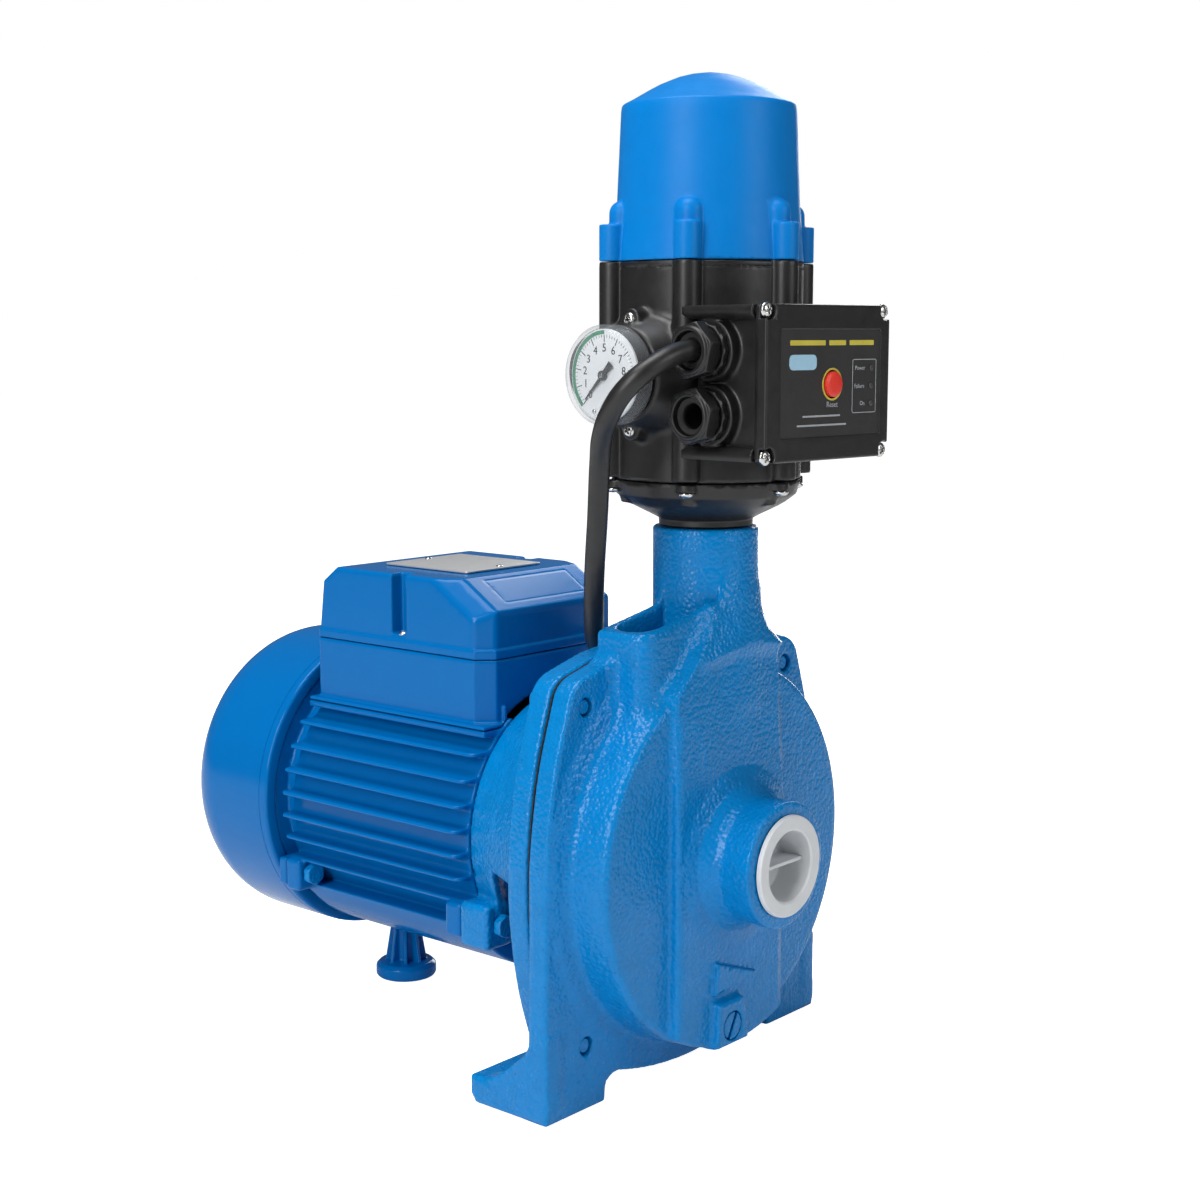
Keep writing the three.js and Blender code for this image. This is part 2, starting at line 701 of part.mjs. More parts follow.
function slingerAndBearings() {
  place(pump, "water_slinger", ring("y", 18, SHAFT_RADIUS + GAP, 42, 45, onShaft, 20), rubber);
  const bearing = (from) => ring("y", BEARING_BORE - GAP, 7.45 + GAP, from, from + 11, onShaft, 20);
  place(pump, "front_bearing", bearing(BEARING_SEAT_Y), steel);
  place(pump, "rear_bearing", bearing(188), steel);
}

function rotorAndStator() {
  const rotor = turned(
    "y",
    [
      [10.3, STACK_FRONT_Y],
      [22, STACK_FRONT_Y],
      [22, STACK_FRONT_Y - 7],
      [29, STACK_FRONT_Y - 7],
      [30.4, STACK_FRONT_Y],
      [30.4, STACK_REAR_Y],
      [29, STACK_REAR_Y + 7],
      [22, STACK_REAR_Y + 7],
      [22, STACK_REAR_Y],
      [10.3, STACK_REAR_Y],
      [10.3, STACK_FRONT_Y],
    ],
    22,
    [0, 0, AXIS_HEIGHT],
  );
  place(pump, "rotor_core", rotor, darkSteel);

  const SLOTS = 12;
  const across = (angle, width, from, to, inner, outer) =>
    block([inner, from, -width / 2], [outer, to, width / 2])
      .rotate([0, angle, 0])
      .translate([0, 0, AXIS_HEIGHT]);
  const angles = Array.from({ length: SLOTS }, (_, i) => (i * 360) / SLOTS);
  const core = ring("y", FRAME_BORE - GAP, 31, STACK_FRONT_Y, STACK_REAR_Y, onShaft, 28);
  const slots = angles.map((a) => across(a, 6, STACK_FRONT_Y - 1, STACK_REAR_Y + 1, 34.5, 47.5));
  place(pump, "stator_core", cut(core, ...slots), darkSteel);

  const bars = angles.map((a) => across(a, 5.4, STACK_FRONT_Y - 3, STACK_REAR_Y + 3, 34.8, 47.2));
  const endTurns = (from, to) =>
    turned(
      "y",
      [
        [33, from],
        [47, from],
        [51, from + 4],
        [51, to - 4],
        [47, to],
        [33, to],
        [33, from],
      ],
      22,
      [0, 0, AXIS_HEIGHT],
    );
  const front = endTurns(80.5, STACK_FRONT_Y - GAP);
  const rear = endTurns(STACK_REAR_Y + GAP, 183.5);
  place(pump, "stator_winding", join(front, rear, ...bars), copper);
}

// ---------------------------------------------------------------- motor frame
const SHELF_HALF_WIDTH = 50;
const SHELF_Z = BOX_BOTTOM_Z - GAP;
function finEdge(z) {
  const dz = z - AXIS_HEIGHT;
  return Math.sqrt(FIN_RADIUS ** 2 - dz ** 2);
}

function motorFrame() {
  const shell = bar("y", FRAME_RADIUS, MOTOR_FRONT_Y, MOTOR_REAR_Y, onShaft, 32);
  const FIN_THICKNESS = 2.6;
  const fins = [];
  for (let k = -3; k <= 3; k++) {
    const z = AXIS_HEIGHT + 5.6 + k * FIN_PITCH;
    const reach = finEdge(z + (k > 0 ? FIN_THICKNESS / 2 : -FIN_THICKNESS / 2));
    const low = z - FIN_THICKNESS / 2;
    fins.push(block([-reach, MOTOR_FRONT_Y, low], [reach, MOTOR_REAR_Y, low + FIN_THICKNESS]));
  }
  const belly = ring("y", FIN_RADIUS, FIN_RADIUS - 3, MOTOR_FRONT_Y, MOTOR_REAR_Y, onShaft, 32).intersect(
    block([-80, 0, 0], [80, 300, LUG_Z - 6]),
  );
  const bellyFin = block([-finEdge(57), MOTOR_FRONT_Y, 55.5], [finEdge(57), MOTOR_REAR_Y, 58.3]);
  const bellyWeb = block([-2, MOTOR_FRONT_Y, AXIS_HEIGHT - FIN_RADIUS + 1], [2, MOTOR_REAR_Y, 45]);
  const footPad = bar("z", 9, AXIS_HEIGHT - FIN_RADIUS + 0.3, 42, [0, 180], 20);
  const shelf = block(
    [-SHELF_HALF_WIDTH, MOTOR_FRONT_Y + 0.5, SHELF_Z - 3],
    [SHELF_HALF_WIDTH, MOTOR_REAR_Y, SHELF_Z],
  );
  const lugs = [-1, 1].flatMap((side) => {
    const lug = roundedRectangle(side * LUG_X - 7, LUG_Z - 8, side * LUG_X + 7, LUG_Z + 7, 2.5);
    return [plate("y", lug, MOTOR_FRONT_Y, 85, 3), plate("y", lug, 182, MOTOR_REAR_Y, 3)];
  });
  const lugHoles = [-1, 1].map((side) => bar("y", 3.3, 70, 200, [side * LUG_X, LUG_Z], 8));
  const bore = bar("y", FRAME_BORE, 70, 200, onShaft, 32);
  const leadHole = bar("z", 9, 130, 200, [0, 92], 16);
  const outside = join(shell, ...fins, belly, bellyFin, bellyWeb, footPad, shelf, ...lugs);
  place(pump, "motor_frame", cut(outside, bore, leadHole, ...lugHoles), motorBlue);
}

function rearEndShield() {
  const profile = [
    [24, 187],
    [24, 193],
    [56, 193],
    [56, 191.8],
    [66.3, 191.8],
    [66.3, 202],
    [60, 204],
    [24, 202],
    [22, 203],
    [8, 203],
    [8, 199.6],
    [17.8, 199.6],
    [17.8, 187],
    [24, 187],
  ];
  const disc = turned("y", profile, 24, [0, 0, AXIS_HEIGHT]);
  const lugs = [-1, 1].map((side) => {
    const lug = roundedRectangle(side * LUG_X - 6.5, LUG_Z - 6.5, side * LUG_X + 6.5, LUG_Z + 6.5, 3);
    return plate("y", lug, MOTOR_REAR_Y + GAP, COVER_FRONT_Y - GAP, 3);
  });
  const lugHoles = [-1, 1].map((side) => bar("y", 3.3, 180, 210, [side * LUG_X, LUG_Z], 8));
  place(pump, "rear_end_shield", cut(join(disc, ...lugs), ...lugHoles), motorBlue);
}

function coolingFan() {
  const hub = bar("y", 13, 207, 228, onShaft, 24);
  const backplate = bar("y", 57, 207, 209.5, onShaft, 32);
  const BLADES = 7;
  const blades = Array.from({ length: BLADES }, (_, i) =>
    block([10, 208, -1.2], [57, 229, 1.2])
      .rotate([0, (i * 360) / BLADES, 0])
      .translate([0, 0, AXIS_HEIGHT]),
  );
  const bore = bar("y", 6 + GAP, 200, 240, onShaft, 20);
  place(pump, "cooling_fan", cut(join(hub, backplate, ...blades), bore), blackPlastic);
}

// A drawn cup with a rolled front lip and a rounded back with air slots.
function fanCover() {
  const wall = 2;
  const bulge = [];
  const BULGE_START = 236;
  const FLAT_RADIUS = 55;
  const RIM_INNER = 66.6;
  const steps = 3;
  for (let i = 0; i <= steps; i++) {
    const t = (i / steps) * (Math.PI / 2);
    const y = BULGE_START + (COVER_REAR_Y - BULGE_START) * Math.sin(t);
    const r = COVER_RADIUS - (COVER_RADIUS - FLAT_RADIUS) * (1 - Math.cos(t));
    bulge.push([r, y]);
  }
  const inner = bulge.map(([r, y]) => [r - wall, y - wall]).reverse();
  const profile = [
    [RIM_INNER, COVER_FRONT_Y],
    [COVER_RADIUS, COVER_FRONT_Y],
    ...bulge,
    [0, COVER_REAR_Y],
    [0, COVER_REAR_Y - wall],
    ...inner,
    [COVER_RADIUS - wall, COVER_FRONT_Y + wall],
    [RIM_INNER, COVER_FRONT_Y + wall],
    [RIM_INNER, COVER_FRONT_Y],
  ];
  const cup = turned("y", profile, 32, [0, 0, AXIS_HEIGHT]);
  const slots = [];
  const SLOT_ROWS = [
    { radius: 24, count: 6 },
    { radius: 40, count: 12 },
  ];
  for (const { radius, count } of SLOT_ROWS) {
    for (let i = 0; i < count; i++) {
      slots.push(
        block([radius - 6, COVER_REAR_Y - 6, -3.6], [radius + 6, COVER_REAR_Y + 4, 3.6])
          .rotate([0, (i * 360) / count, 0])
          .translate([0, 0, AXIS_HEIGHT]),
      );
    }
  }
  place(pump, "fan_cover", cut(cup, ...slots), motorBlue);
}

function motorFoot() {
  const stem = turned(
    "z",
    [
      [0, 0],
      [14.2, 0],
      [14.9, 1],
      [14.9, 5.5],
      [14, 7],
      [10, 8.2],
      [7, 27],
      [7, 28.7],
      [0, 28.7],
    ],
    18,
    [0, 180, 0],
  );
  const trim = bar("y", FIN_RADIUS + GAP, 150, 210, onShaft, 36);
  const ribs = [0, 45, 90, 135].map((a) =>
    block([-9.2, -1, 6], [9.2, 1, 26]).rotate([0, 0, a]).translate([0, 180, 0]),
  );
  place(pump, "motor_foot", cut(join(stem, ...ribs), trim), motorBlue);
}

// ---------------------------------------------------------------- terminal box
const BOX_WALL = 3;
const BOX_GLAND_Y = 116;
const BOX_GLAND_Z = 161;
function boxPlan(inset, corner) {
  const x = BOX_HALF_WIDTH - inset;
  const [y0, y1] = [BOX_FRONT_Y + inset, BOX_REAR_Y - inset];
  return outline([
    [-x + corner, y0],
    [x - corner, y0],
    [x, y0 + corner],
    [x, y1 - 3],
    [x - 3, y1],
    [-x + 3, y1],
    [-x, y1 - 3],
    [-x, y0 + corner],
  ]);
}

function terminalBoxBase() {
  const wall = plate("z", boxPlan(0, 7), BOX_BOTTOM_Z, BOX_SEAM_Z);
  const lip = plate("z", roundedRectangle(-50, 76.2, 50, 191.2, 4), BOX_BOTTOM_Z, BOX_BOTTOM_Z + 1.8, 2);
  const tab = block([34, 76.8, BOX_BOTTOM_Z], [36, 80, BOX_BOTTOM_Z + 9]);
  const leftTab = block([-36, 76.8, BOX_BOTTOM_Z], [-34, 80, BOX_BOTTOM_Z + 9]);
  const inside = plate("z", boxPlan(BOX_WALL, 6), BOX_BOTTOM_Z + 2.5, BOX_SEAM_Z + 1);
  const saddle = bar("y", FRAME_RADIUS + GAP, 60, 200, onShaft, 36);
  const hole = bar("x", 6.4, 30, 60, [BOX_GLAND_Y, BOX_GLAND_Z], 20);
  place(pump, "terminal_box_base", cut(join(wall, lip, tab, leftTab), inside, saddle, hole), motorBlue);
}

// The lid: a long front slope, bevelled front corners and a screw slot down each side.
const COVER_SIDE_X = BOX_HALF_WIDTH - 0.7;
const COVER_SKIRT_TOP_Z = 179.8;
const COVER_FACE_Y = BOX_FRONT_Y + 1; // upright front face
const SLOPE_FOOT_Z = 196.6;
const SLOPE_HEAD_Y = 100;
function terminalBoxCover() {
  const profile = (inset) =>
    outline([
      [COVER_FACE_Y + inset, BOX_SEAM_Z + GAP],
      [BOX_REAR_Y - 1.5 - inset, BOX_SEAM_Z + GAP],
      [BOX_REAR_Y - 5 - inset, 202.6 - inset],
      [BOX_REAR_Y - 14.5, BOX_TOP_Z - inset],
      [SLOPE_HEAD_Y, BOX_TOP_Z - inset],
      [COVER_FACE_Y + inset, SLOPE_FOOT_Z - inset],
    ]);
  const upper = plate("x", profile(0), -COVER_SIDE_X, COVER_SIDE_X);
  const skirt = plate("z", boxPlan(0, 7), BOX_SEAM_Z + GAP, COVER_SKIRT_TOP_Z);
  const corner = 7;
  const slope = [BOX_TOP_Z - SLOPE_FOOT_Z, SLOPE_HEAD_Y - COVER_FACE_Y];
  const slopeLength = Math.hypot(...slope);
  const bevels = [-1, 1].flatMap((side) => {
    const foot = [side * (COVER_SIDE_X - corner), COVER_FACE_Y, SLOPE_FOOT_Z];
    return [
      beyond(foot, [side, -1, 0]),
      beyond(foot, [side, -slope[0] / slopeLength, slope[1] / slopeLength]),
    ];
  });
  const slots = [-1, 1].map((side) => {
    const depth = side > 0 ? [COVER_SIDE_X - corner, 60] : [-60, corner - COVER_SIDE_X];
    return block([depth[0], 130, 182], [depth[1], 138.5, BOX_TOP_Z + 2]);
  });
  const posts = [-1, 1].map((side) => {
    const reach = [side * (COVER_SIDE_X - corner - 3), side * (COVER_SIDE_X - 1)];
    return block(
      [Math.min(...reach), 127, BOX_SEAM_Z + GAP],
      [Math.max(...reach), 141.5, BOX_TOP_Z - 1],
    );
  });
  const hollow = plate("x", profile(BOX_WALL), BOX_WALL - COVER_SIDE_X, COVER_SIDE_X - BOX_WALL);
  const mouth = plate("z", boxPlan(BOX_WALL + 1, 7), BOX_SEAM_Z - 2, BOX_SEAM_Z + 6);
  const bevelledUpper = cut(upper, ...bevels);
  const shell = cut(join(bevelledUpper, skirt), hollow, mouth);
  place(pump, "terminal_box_cover", cut(join(shell, ...posts), ...slots), motorBlue);
}

function terminalBoxContents() {
  const rating = plate("z", roundedRectangle(-25, 110, 25, 164, 1.5), BOX_TOP_Z + GAP, BOX_TOP_Z + 1.1, 2);
  place(pump, "rating_plate", rating, greyPlate);
  const capacitor = bar("y", 14, 112, 170, [16, 179], 28);
  place(pump, "capacitor", capacitor, whitePlastic);
}

function boxCableGland() {
  const at = [BOX_GLAND_Y, BOX_GLAND_Z];
  const thread = bar("x", 6, 41.5, 48, at, 20);
  const nut = hexagon("x", 17, BOX_HALF_WIDTH + GAP, 56, at);
  const dome = bar("x", 8, 55.5, 63, at, 24, 6.4);
  const bore = bar("x", CABLE_RADIUS + GAP, 30, 70, at, 20);
  const mouth = bar("x", CABLE_RADIUS + GAP, 57, 65, at, 20, CABLE_RADIUS + 1.4);
  place(pump, "box_cable_gland", cut(join(thread, nut, dome), bore, mouth), blackPlastic);
}

// ---------------------------------------------------------------- control unit
const bossAngles = [0, 60, 120, 180, 240, 300];
const aroundAxis = (radius, degrees) => {
  const a = THREE.MathUtils.degToRad(degrees - 90);
  return [radius * Math.cos(a), radius * Math.sin(a)];
};
const INLET_THREAD = 16.4;
const WATER_WAY = 12.5;

const SEAT_HEIGHT = 7.5;
function controlInletFlange() {
  const bowl = turned(
    "z",
    [
      [0, -18],
      [INLET_THREAD - 1, -18],
      [INLET_THREAD, -17],
      [INLET_THREAD, GAP],
      [20, GAP],
      [20, 3.2],
      [33, 9.9],
      [38.3, 13.9],
      [40.3, BODY_BOTTOM - GAP],
      [0, BODY_BOTTOM - GAP],
    ],
    26,
  );
  const bore = bar("z", WATER_WAY - 2, -20, 8, [0, 0], 20);
  const basin = turned(
    "z",
    [
      [0, SEAT_HEIGHT],
      [15, SEAT_HEIGHT],
      [31, 12],
      [35.5, 22],
      [0, 22],
    ],
    26,
  );
  const ears = bossAngles.map((a) =>
    bar("z", 4.2, 15, BODY_BOTTOM - GAP, aroundAxis(BOSS_CIRCLE - 2.5, a), 8),
  );
  place(controlUnit, "control_inlet_flange", cut(join(bowl, ...ears), bore, basin), blackPlastic);
}

const GUIDE_BOTTOM = 33;
function controlBody() {
  const barrel = bar("z", BODY_RADIUS, BODY_BOTTOM, BODY_TOP, [0, 0], 30);
  const columns = bossAngles.map((a) =>
    bar("z", BOSS_RADIUS, BODY_BOTTOM + 3, BODY_TOP, aroundAxis(BOSS_CIRCLE, a), 8),
  );
  const gaugeBoss = bar("x", 19, -51.5, -35, [0, GAUGE_HEIGHT], 28, 26.5);
  const gaugeEars = [22.2, -22.2].map((dz) => bar("x", 4.5, -47, -34, [0, GAUGE_HEIGHT + dz], 8));
  const outletNozzle = turned(
    "y",
    [
      [0, 30],
      [24, 30],
      [21, 44],
      [19.5, 50],
      [INLET_THREAD, 50],
      [INLET_THREAD, 66],
      [INLET_THREAD - 1, 67],
      [0, 67],
    ],
    24,
    [0, 0, GAUGE_HEIGHT],
  );
  const inside = bar("z", 36, BODY_BOTTOM - 1, BODY_TOP - 3, [0, 0], 24);
  const diaphragmSeat = bar("z", 38.3, BODY_TOP - 3.01, BODY_TOP + 1, [0, 0], 24);
  const outletBore = bar("y", WATER_WAY, 30, 80, [0, GAUGE_HEIGHT], 24);
  const gaugeBore = bar("x", 5.5, -60, -30, [0, GAUGE_HEIGHT], 10);
  const guide = cut(
    join(
      block([-37, -4, GUIDE_BOTTOM], [37, 4, GUIDE_BOTTOM + 4]),
      bar("z", 8, GUIDE_BOTTOM, GUIDE_BOTTOM + 8, [0, 0], 20),
    ),
    bar("z", 3.4, 20, 50, [0, 0], 10),
  );
  const trimmedGuide = guide.intersect(bar("z", BODY_RADIUS - 1, 20, 60, [0, 0], 24));
  const outside = join(barrel, ...columns, gaugeBoss, ...gaugeEars, outletNozzle);
  const hollow = cut(outside, inside, diaphragmSeat, outletBore, gaugeBore);
  place(controlUnit, "control_body", join(hollow, trimmedGuide), blackPlastic);
}

function controlCap() {
  const outside = turned(
    "z",
    [
      [0, BODY_TOP + GAP],
      [BODY_RADIUS, BODY_TOP + GAP],
      [38, 133.9],
      [36.4, 172],
      [35.6, 174.2],
      [32, 176.2],
      [29, 177.6],
      [24, 180.9],
      [14, 185.1],
      [0, CAP_TOP],
    ],
    28,
  );
  const columns = bossAngles.flatMap((a) => [
    bar("z", BOSS_RADIUS, BODY_TOP + GAP, 125.2, aroundAxis(BOSS_CIRCLE, a), 8),
    bar("z", BOSS_RADIUS - 0.5, 125, 131, aroundAxis(BOSS_CIRCLE - 3.5, a), 6, 3),
  ]);
  const inside = turned(
    "z",
    [
      [0, BODY_TOP - 1],
      [36.6, BODY_TOP - 1],
      [34.5, 134],
      [33, 170],
      [0, 170],
    ],
    28,
  );
  place(controlUnit, "control_cap", cut(join(outside, ...columns), inside), capBlue);
}

function flowParts() {
  const diaphragm = turned(
    "z",
    [
      [0, BODY_TOP - 2.7],
      [24, BODY_TOP - 2.7],
      [27, BODY_TOP - 5.4],
      [31, BODY_TOP - 5.4],
      [33.5, BODY_TOP - 2.7],
      [38, BODY_TOP - 2.7],
      [38, BODY_TOP - 0.7],
      [32.5, BODY_TOP - 0.7],
      [30, BODY_TOP - 3.6],
      [28, BODY_TOP - 3.6],
      [25, BODY_TOP - 0.7],
      [0, BODY_TOP - 0.7],
    ],
    24,
  );
  place(controlUnit, "diaphragm", diaphragm, rubber);
  const plunger = join(
    bar("z", 23, BODY_TOP - 0.4, BODY_TOP + 3, [0, 0], 20),
    bar("z", 9, BODY_TOP, 136, [0, 0], 20),
  );
  place(controlUnit, "spring_plunger", plunger, whitePlastic);
  place(controlUnit, "pressure_spring", coil(15, 1.6, BODY_TOP + 3.3, 169.7, 5), steel);

  const valve = join(
    bar("z", 13.5, 7.8, 10.8, [0, 0], 24),
    bar("z", 3, 8, 44, [0, 0], 14),
  );
  place(controlUnit, "check_valve", valve, whitePlastic);
  place(controlUnit, "valve_spring", coil(5.6, 0.6, 11.1, GUIDE_BOTTOM - GAP, 5, 7), steel);
}

const HOUSING_SIDE = 36;
const HOUSING_FRONT = 59.7;
const WRAP_GAP = 0.55; // the housing follows the round body a little loosely
const SCREW_OFFSET = PANEL_HALF_WIDTH - SCREW_INSET;
const CORNER_SCREWS = [-1, 1].flatMap((side) =>
  [PANEL_TOP - SCREW_INSET, PANEL_BOTTOM + SCREW_INSET].map((z) => [PANEL_CENTRE_X + side * SCREW_OFFSET, z]),
);
// A clearance round the control body, for the housing that wraps its front.
const roundBody = (clearance) =>
  join(
    bar("z", BODY_RADIUS + clearance, 0, 130, [0, 0], 36),
    ...bossAngles.map((a) => bar("z", BOSS_RADIUS + clearance, 0, 130, aroundAxis(BOSS_CIRCLE, a), 12)),
  );

function controlBoxHousing() {
  const wall = 2.5;
  const low = PANEL_BOTTOM + 2;
  const high = PANEL_TOP - 2;
  const outside = block([-HOUSING_SIDE, -HOUSING_FRONT, low], [HOUSING_SIDE, -18, high]);
  const room = block([wall - HOUSING_SIDE, -70, low + wall], [HOUSING_SIDE - wall, -20.5, high - wall]);
  const inside = cut(room, roundBody(WRAP_GAP + wall));
  const tubes = CORNER_SCREWS.map((at) => bar("y", 3.5, -HOUSING_FRONT, -21, at, 8));
  const tubeBores = CORNER_SCREWS.map((at) => bar("y", 1.9, -70, -45, at, 8));
  const glands = Object.values(GLAND_HEIGHTS);
  const glandBosses = glands.map((z) => bar("x", 12.2, -40.5, -34, [-GLAND_FORWARD, z], 18, 13.2));
  const glandBores = glands.map((z) => bar("x", 8.6, -45, -30, [-GLAND_FORWARD, z], 16));
  const shell = cut(join(outside, ...glandBosses), inside);
  const housing = cut(join(shell, ...tubes), roundBody(WRAP_GAP), ...tubeBores, ...glandBores);
  place(controlUnit, "control_box_housing", housing, blackPlastic);
}

const BUTTON = [1.2, 60.8];
function controlBoxCover() {
  const left = PANEL_CENTRE_X - PANEL_HALF_WIDTH;
  const right = PANEL_CENTRE_X + PANEL_HALF_WIDTH;
  const front = roundedRectangle(left, PANEL_BOTTOM, right, PANEL_TOP, 1.5);
  const sheet = plate("y", front, -PANEL_FRONT, -HOUSING_FRONT - GAP, 3);
  const recess = block([-31.4, -PANEL_FRONT - 1, 40.2], [32.4, -PANEL_FRONT + 0.6, 82.4]);
  const notches = CORNER_SCREWS.map((at) => bar("y", 3.6, -PANEL_FRONT - 1, -PANEL_FRONT + 4, at, 12));
  const screwHoles = CORNER_SCREWS.map((at) => bar("y", 1.9, -PANEL_FRONT - 1, -50, at, 10));
  const buttonHole = bar("y", 5.4, -PANEL_FRONT - 2, -50, BUTTON, 16);
  const cover = cut(sheet, recess, buttonHole, ...notches, ...screwHoles);
  place(controlUnit, "control_box_cover", cover, blackPlastic);
}

function resetButton() {
  const head = bar("y", 5, -PANEL_FRONT - 1.4, -58, BUTTON, 16);
  const flange = bar("y", 7, -59.4, -57.6, BUTTON, 16);
  place(controlUnit, "reset_button", join(head, flange), redPlastic);
}

function circuitBoard() {
  const board = block([-31, -53.6, PANEL_BOTTOM + 6], [31, -52.2, PANEL_TOP - 6]);
  const relay = block([13, -58, 42], [28, -53, 60]);
  const pushSwitch = block([BUTTON[0] - 4, -55.4, BUTTON[1] - 4], [BUTTON[0] + 4, -53, BUTTON[1] + 4]);
  place(controlUnit, "circuit_board", join(board, relay, pushSwitch), greenBoard);
}

function coverScrews() {
  CORNER_SCREWS.forEach(([x, z], i) => {
    const head = turned(
      "y",
      [
        [0, -PANEL_FRONT + 1],
        [1.8, -PANEL_FRONT + 1.2],
        [3.1, -PANEL_FRONT + 2.4],
        [3.1, -PANEL_FRONT + 3.7],
        [0, -PANEL_FRONT + 3.7],
      ],
      10,
      [x, 0, z],
    );
    place(controlUnit, "cover_screw_" + (i + 1), join(head, bar("y", 1.5, -62.5, -47, [x, z], 6)), steel);
  });
}

// The cable glands on the left wall. Only the upper one holds a cable.
function cableGlands() {
  for (const [which, z] of Object.entries(GLAND_HEIGHTS)) {
    const at = [-GLAND_FORWARD, z];
    const insideRadius = which === "upper" ? CABLE_RADIUS + GAP : 6;
    const body = cut(
      join(bar("x", 8.2, -46, -30, at, 16), bar("x", 9.6, -44, -40.8, at, 16)),
      bar("x", insideRadius, -60, -20, at, 16),
    );
    place(controlUnit, which + "_gland_body", body, blackPlastic);
    const nut = cut(
      join(hexagon("x", 20.5, -52, -44.3, at), bar("x", 9.4, -53, -51.9, at, 16)),
      bar("x", 8.5, -47, -40, at, 16),
      bar("x", 7.6, -60, -40, at, 16),
    );
    place(controlUnit, which + "_gland_nut", nut, blackPlastic);
  }
}

// ---------------------------------------------------------------- pressure gauge
// The gauge group's +Z looks out to the left of the control unit.
const gauge = new THREE.Group();
gauge.position.set(0, 0, GAUGE_HEIGHT);
gauge.rotation.set(0, -Math.PI / 2, 0);
controlUnit.add(gauge);
const GAUGE_RADIUS = 18.6;
const DIAL_HEIGHT = 61;
const NEEDLE_REST = THREE.MathUtils.degToRad(45); // turned from level towards the lower left

function gaugeParts() {
  const caseBody = turned("z", [
    [0, 35],
    [5, 35],
    [5, 52],
    [GAUGE_RADIUS - 1, 52],
    [GAUGE_RADIUS, 53],
    [GAUGE_RADIUS, DIAL_HEIGHT - GAP],
    [0, DIAL_HEIGHT - GAP],
  ]);
  const hollow = bar("z", GAUGE_RADIUS - 2, 54, 70, [0, 0], 28);
  const pressureWay = bar("z", 1.5, 30, 60, [0, 0], 10);
  place(gauge, "gauge_case", cut(caseBody, hollow, pressureWay), blackPlastic);
  const dial = ring("z", GAUGE_RADIUS, 1.2, DIAL_HEIGHT, DIAL_HEIGHT + 0.9, [0, 0], 28);
  place(gauge, "gauge_dial", dial, whitePlastic);

  const pointer = outline([
    [-1.1, -6],
    [1.1, -6],
    [0.35, 13.5],
    [-0.35, 13.5],
  ]);
  const blade = plate("z", pointer, DIAL_HEIGHT + 1.6, DIAL_HEIGHT + 2.2);
  const hub = bar("z", 1.9, DIAL_HEIGHT + 1.4, DIAL_HEIGHT + 3, [0, 0], 16);
  const pin = bar("z", 0.8, DIAL_HEIGHT - 4, DIAL_HEIGHT + 2, [0, 0], 10);
  const needle = place(gauge, "gauge_needle", join(blade, hub, pin), blackPlastic);
  needle.rotation.z = NEEDLE_REST;

  const lens = turned(
    "z",
    [
      [GAUGE_RADIUS + GAP, 55],
      [GAUGE_RADIUS + 1.7, 55],
      [GAUGE_RADIUS + 1.7, 64],
      [GAUGE_RADIUS - 0.2, 66.4],
      [0, 66.4],
      [0, 64.8],
      [GAUGE_RADIUS - 1, 64.8],
      [GAUGE_RADIUS + GAP, 63],
      [GAUGE_RADIUS + GAP, 55],
    ],
    28,
  );
  place(gauge, "gauge_lens", lens, clearPlastic);
}

// ---------------------------------------------------------------- cable
// From the control unit's upper gland, down beside the outlet pipe and round behind it to the terminal box.
controlUnit.updateMatrix();
const fromControl = (x, z) => new THREE.Vector3(x, -GLAND_FORWARD, z).applyMatrix4(controlUnit.matrix);
const cableRoute = [
  ...[-31, -39, -47, -54].map((x) => fromControl(x, GLAND_HEIGHTS.upper)),
  ...[
    [-65, -28.5, 304.3],
    [-71.3, -22, 296.5],
    [-71, -14, 287.3],
    [-66, -5.5, 277.5],
    [-60, 0.8, 267],
    [-52, 9, 243],
    [-45.7, 16, 220.5],
    [-38, 23, 201.5],
    [-27, 31.5, 188],
    [-11, 40, 180.5],
    [8, 46, 177],
    [30, 48, 174.5],
    [52, 51, 173],
    [71, 60, 171.5],
    [81.5, 76, 169],
    [82, 96, 165.5],
    [77, 110, 162.3],
    [67, BOX_GLAND_Y, BOX_GLAND_Z],
    [56, BOX_GLAND_Y, BOX_GLAND_Z],
    [44, BOX_GLAND_Y, BOX_GLAND_Z],
  ].map((p) => new THREE.Vector3(...p)),
];

function controlCable() {
  const path = new THREE.CatmullRomCurve3(cableRoute);
  const section = new THREE.Shape();
  section.absarc(0, 0, CABLE_RADIUS, 0, 2 * Math.PI, false);
  const geometry = new THREE.ExtrudeGeometry(section, {
    steps: 52,
    extrudePath: path,
    bevelEnabled: false,
    curveSegments: 4,
  });
  place(pump, "control_cable", solid(geometry), rubber);
}

// ---------------------------------------------------------------- assembly
pumpCasing();
suctionPortPlug();
drainPlug();
casingGasket();
motorBracket();
casingBolts();
impeller();
impellerFastening();
mechanicalSeal();
slingerAndBearings();
shaft();
rotorAndStator();
motorFrame();
frameBolts();
rearEndShield();
coolingFan();
fanCover();
motorFoot();
terminalBoxBase();
terminalBoxCover();
terminalBoxContents();
boxCableGland();
controlInletFlange();
controlBody();
controlCap();
flowParts();
controlBoxHousing();
controlBoxCover();
resetButton();
circuitBoard();
coverScrews();
cableGlands();
gaugeParts();
controlCable();

// The part's origin is on the base plane under the middle of its length.
const extent = new THREE.Box3().setFromObject(pump);
const model = new THREE.Group();
pump.position.y = -(extent.min.y + extent.max.y) / 2;
model.add(pump);

export default model;
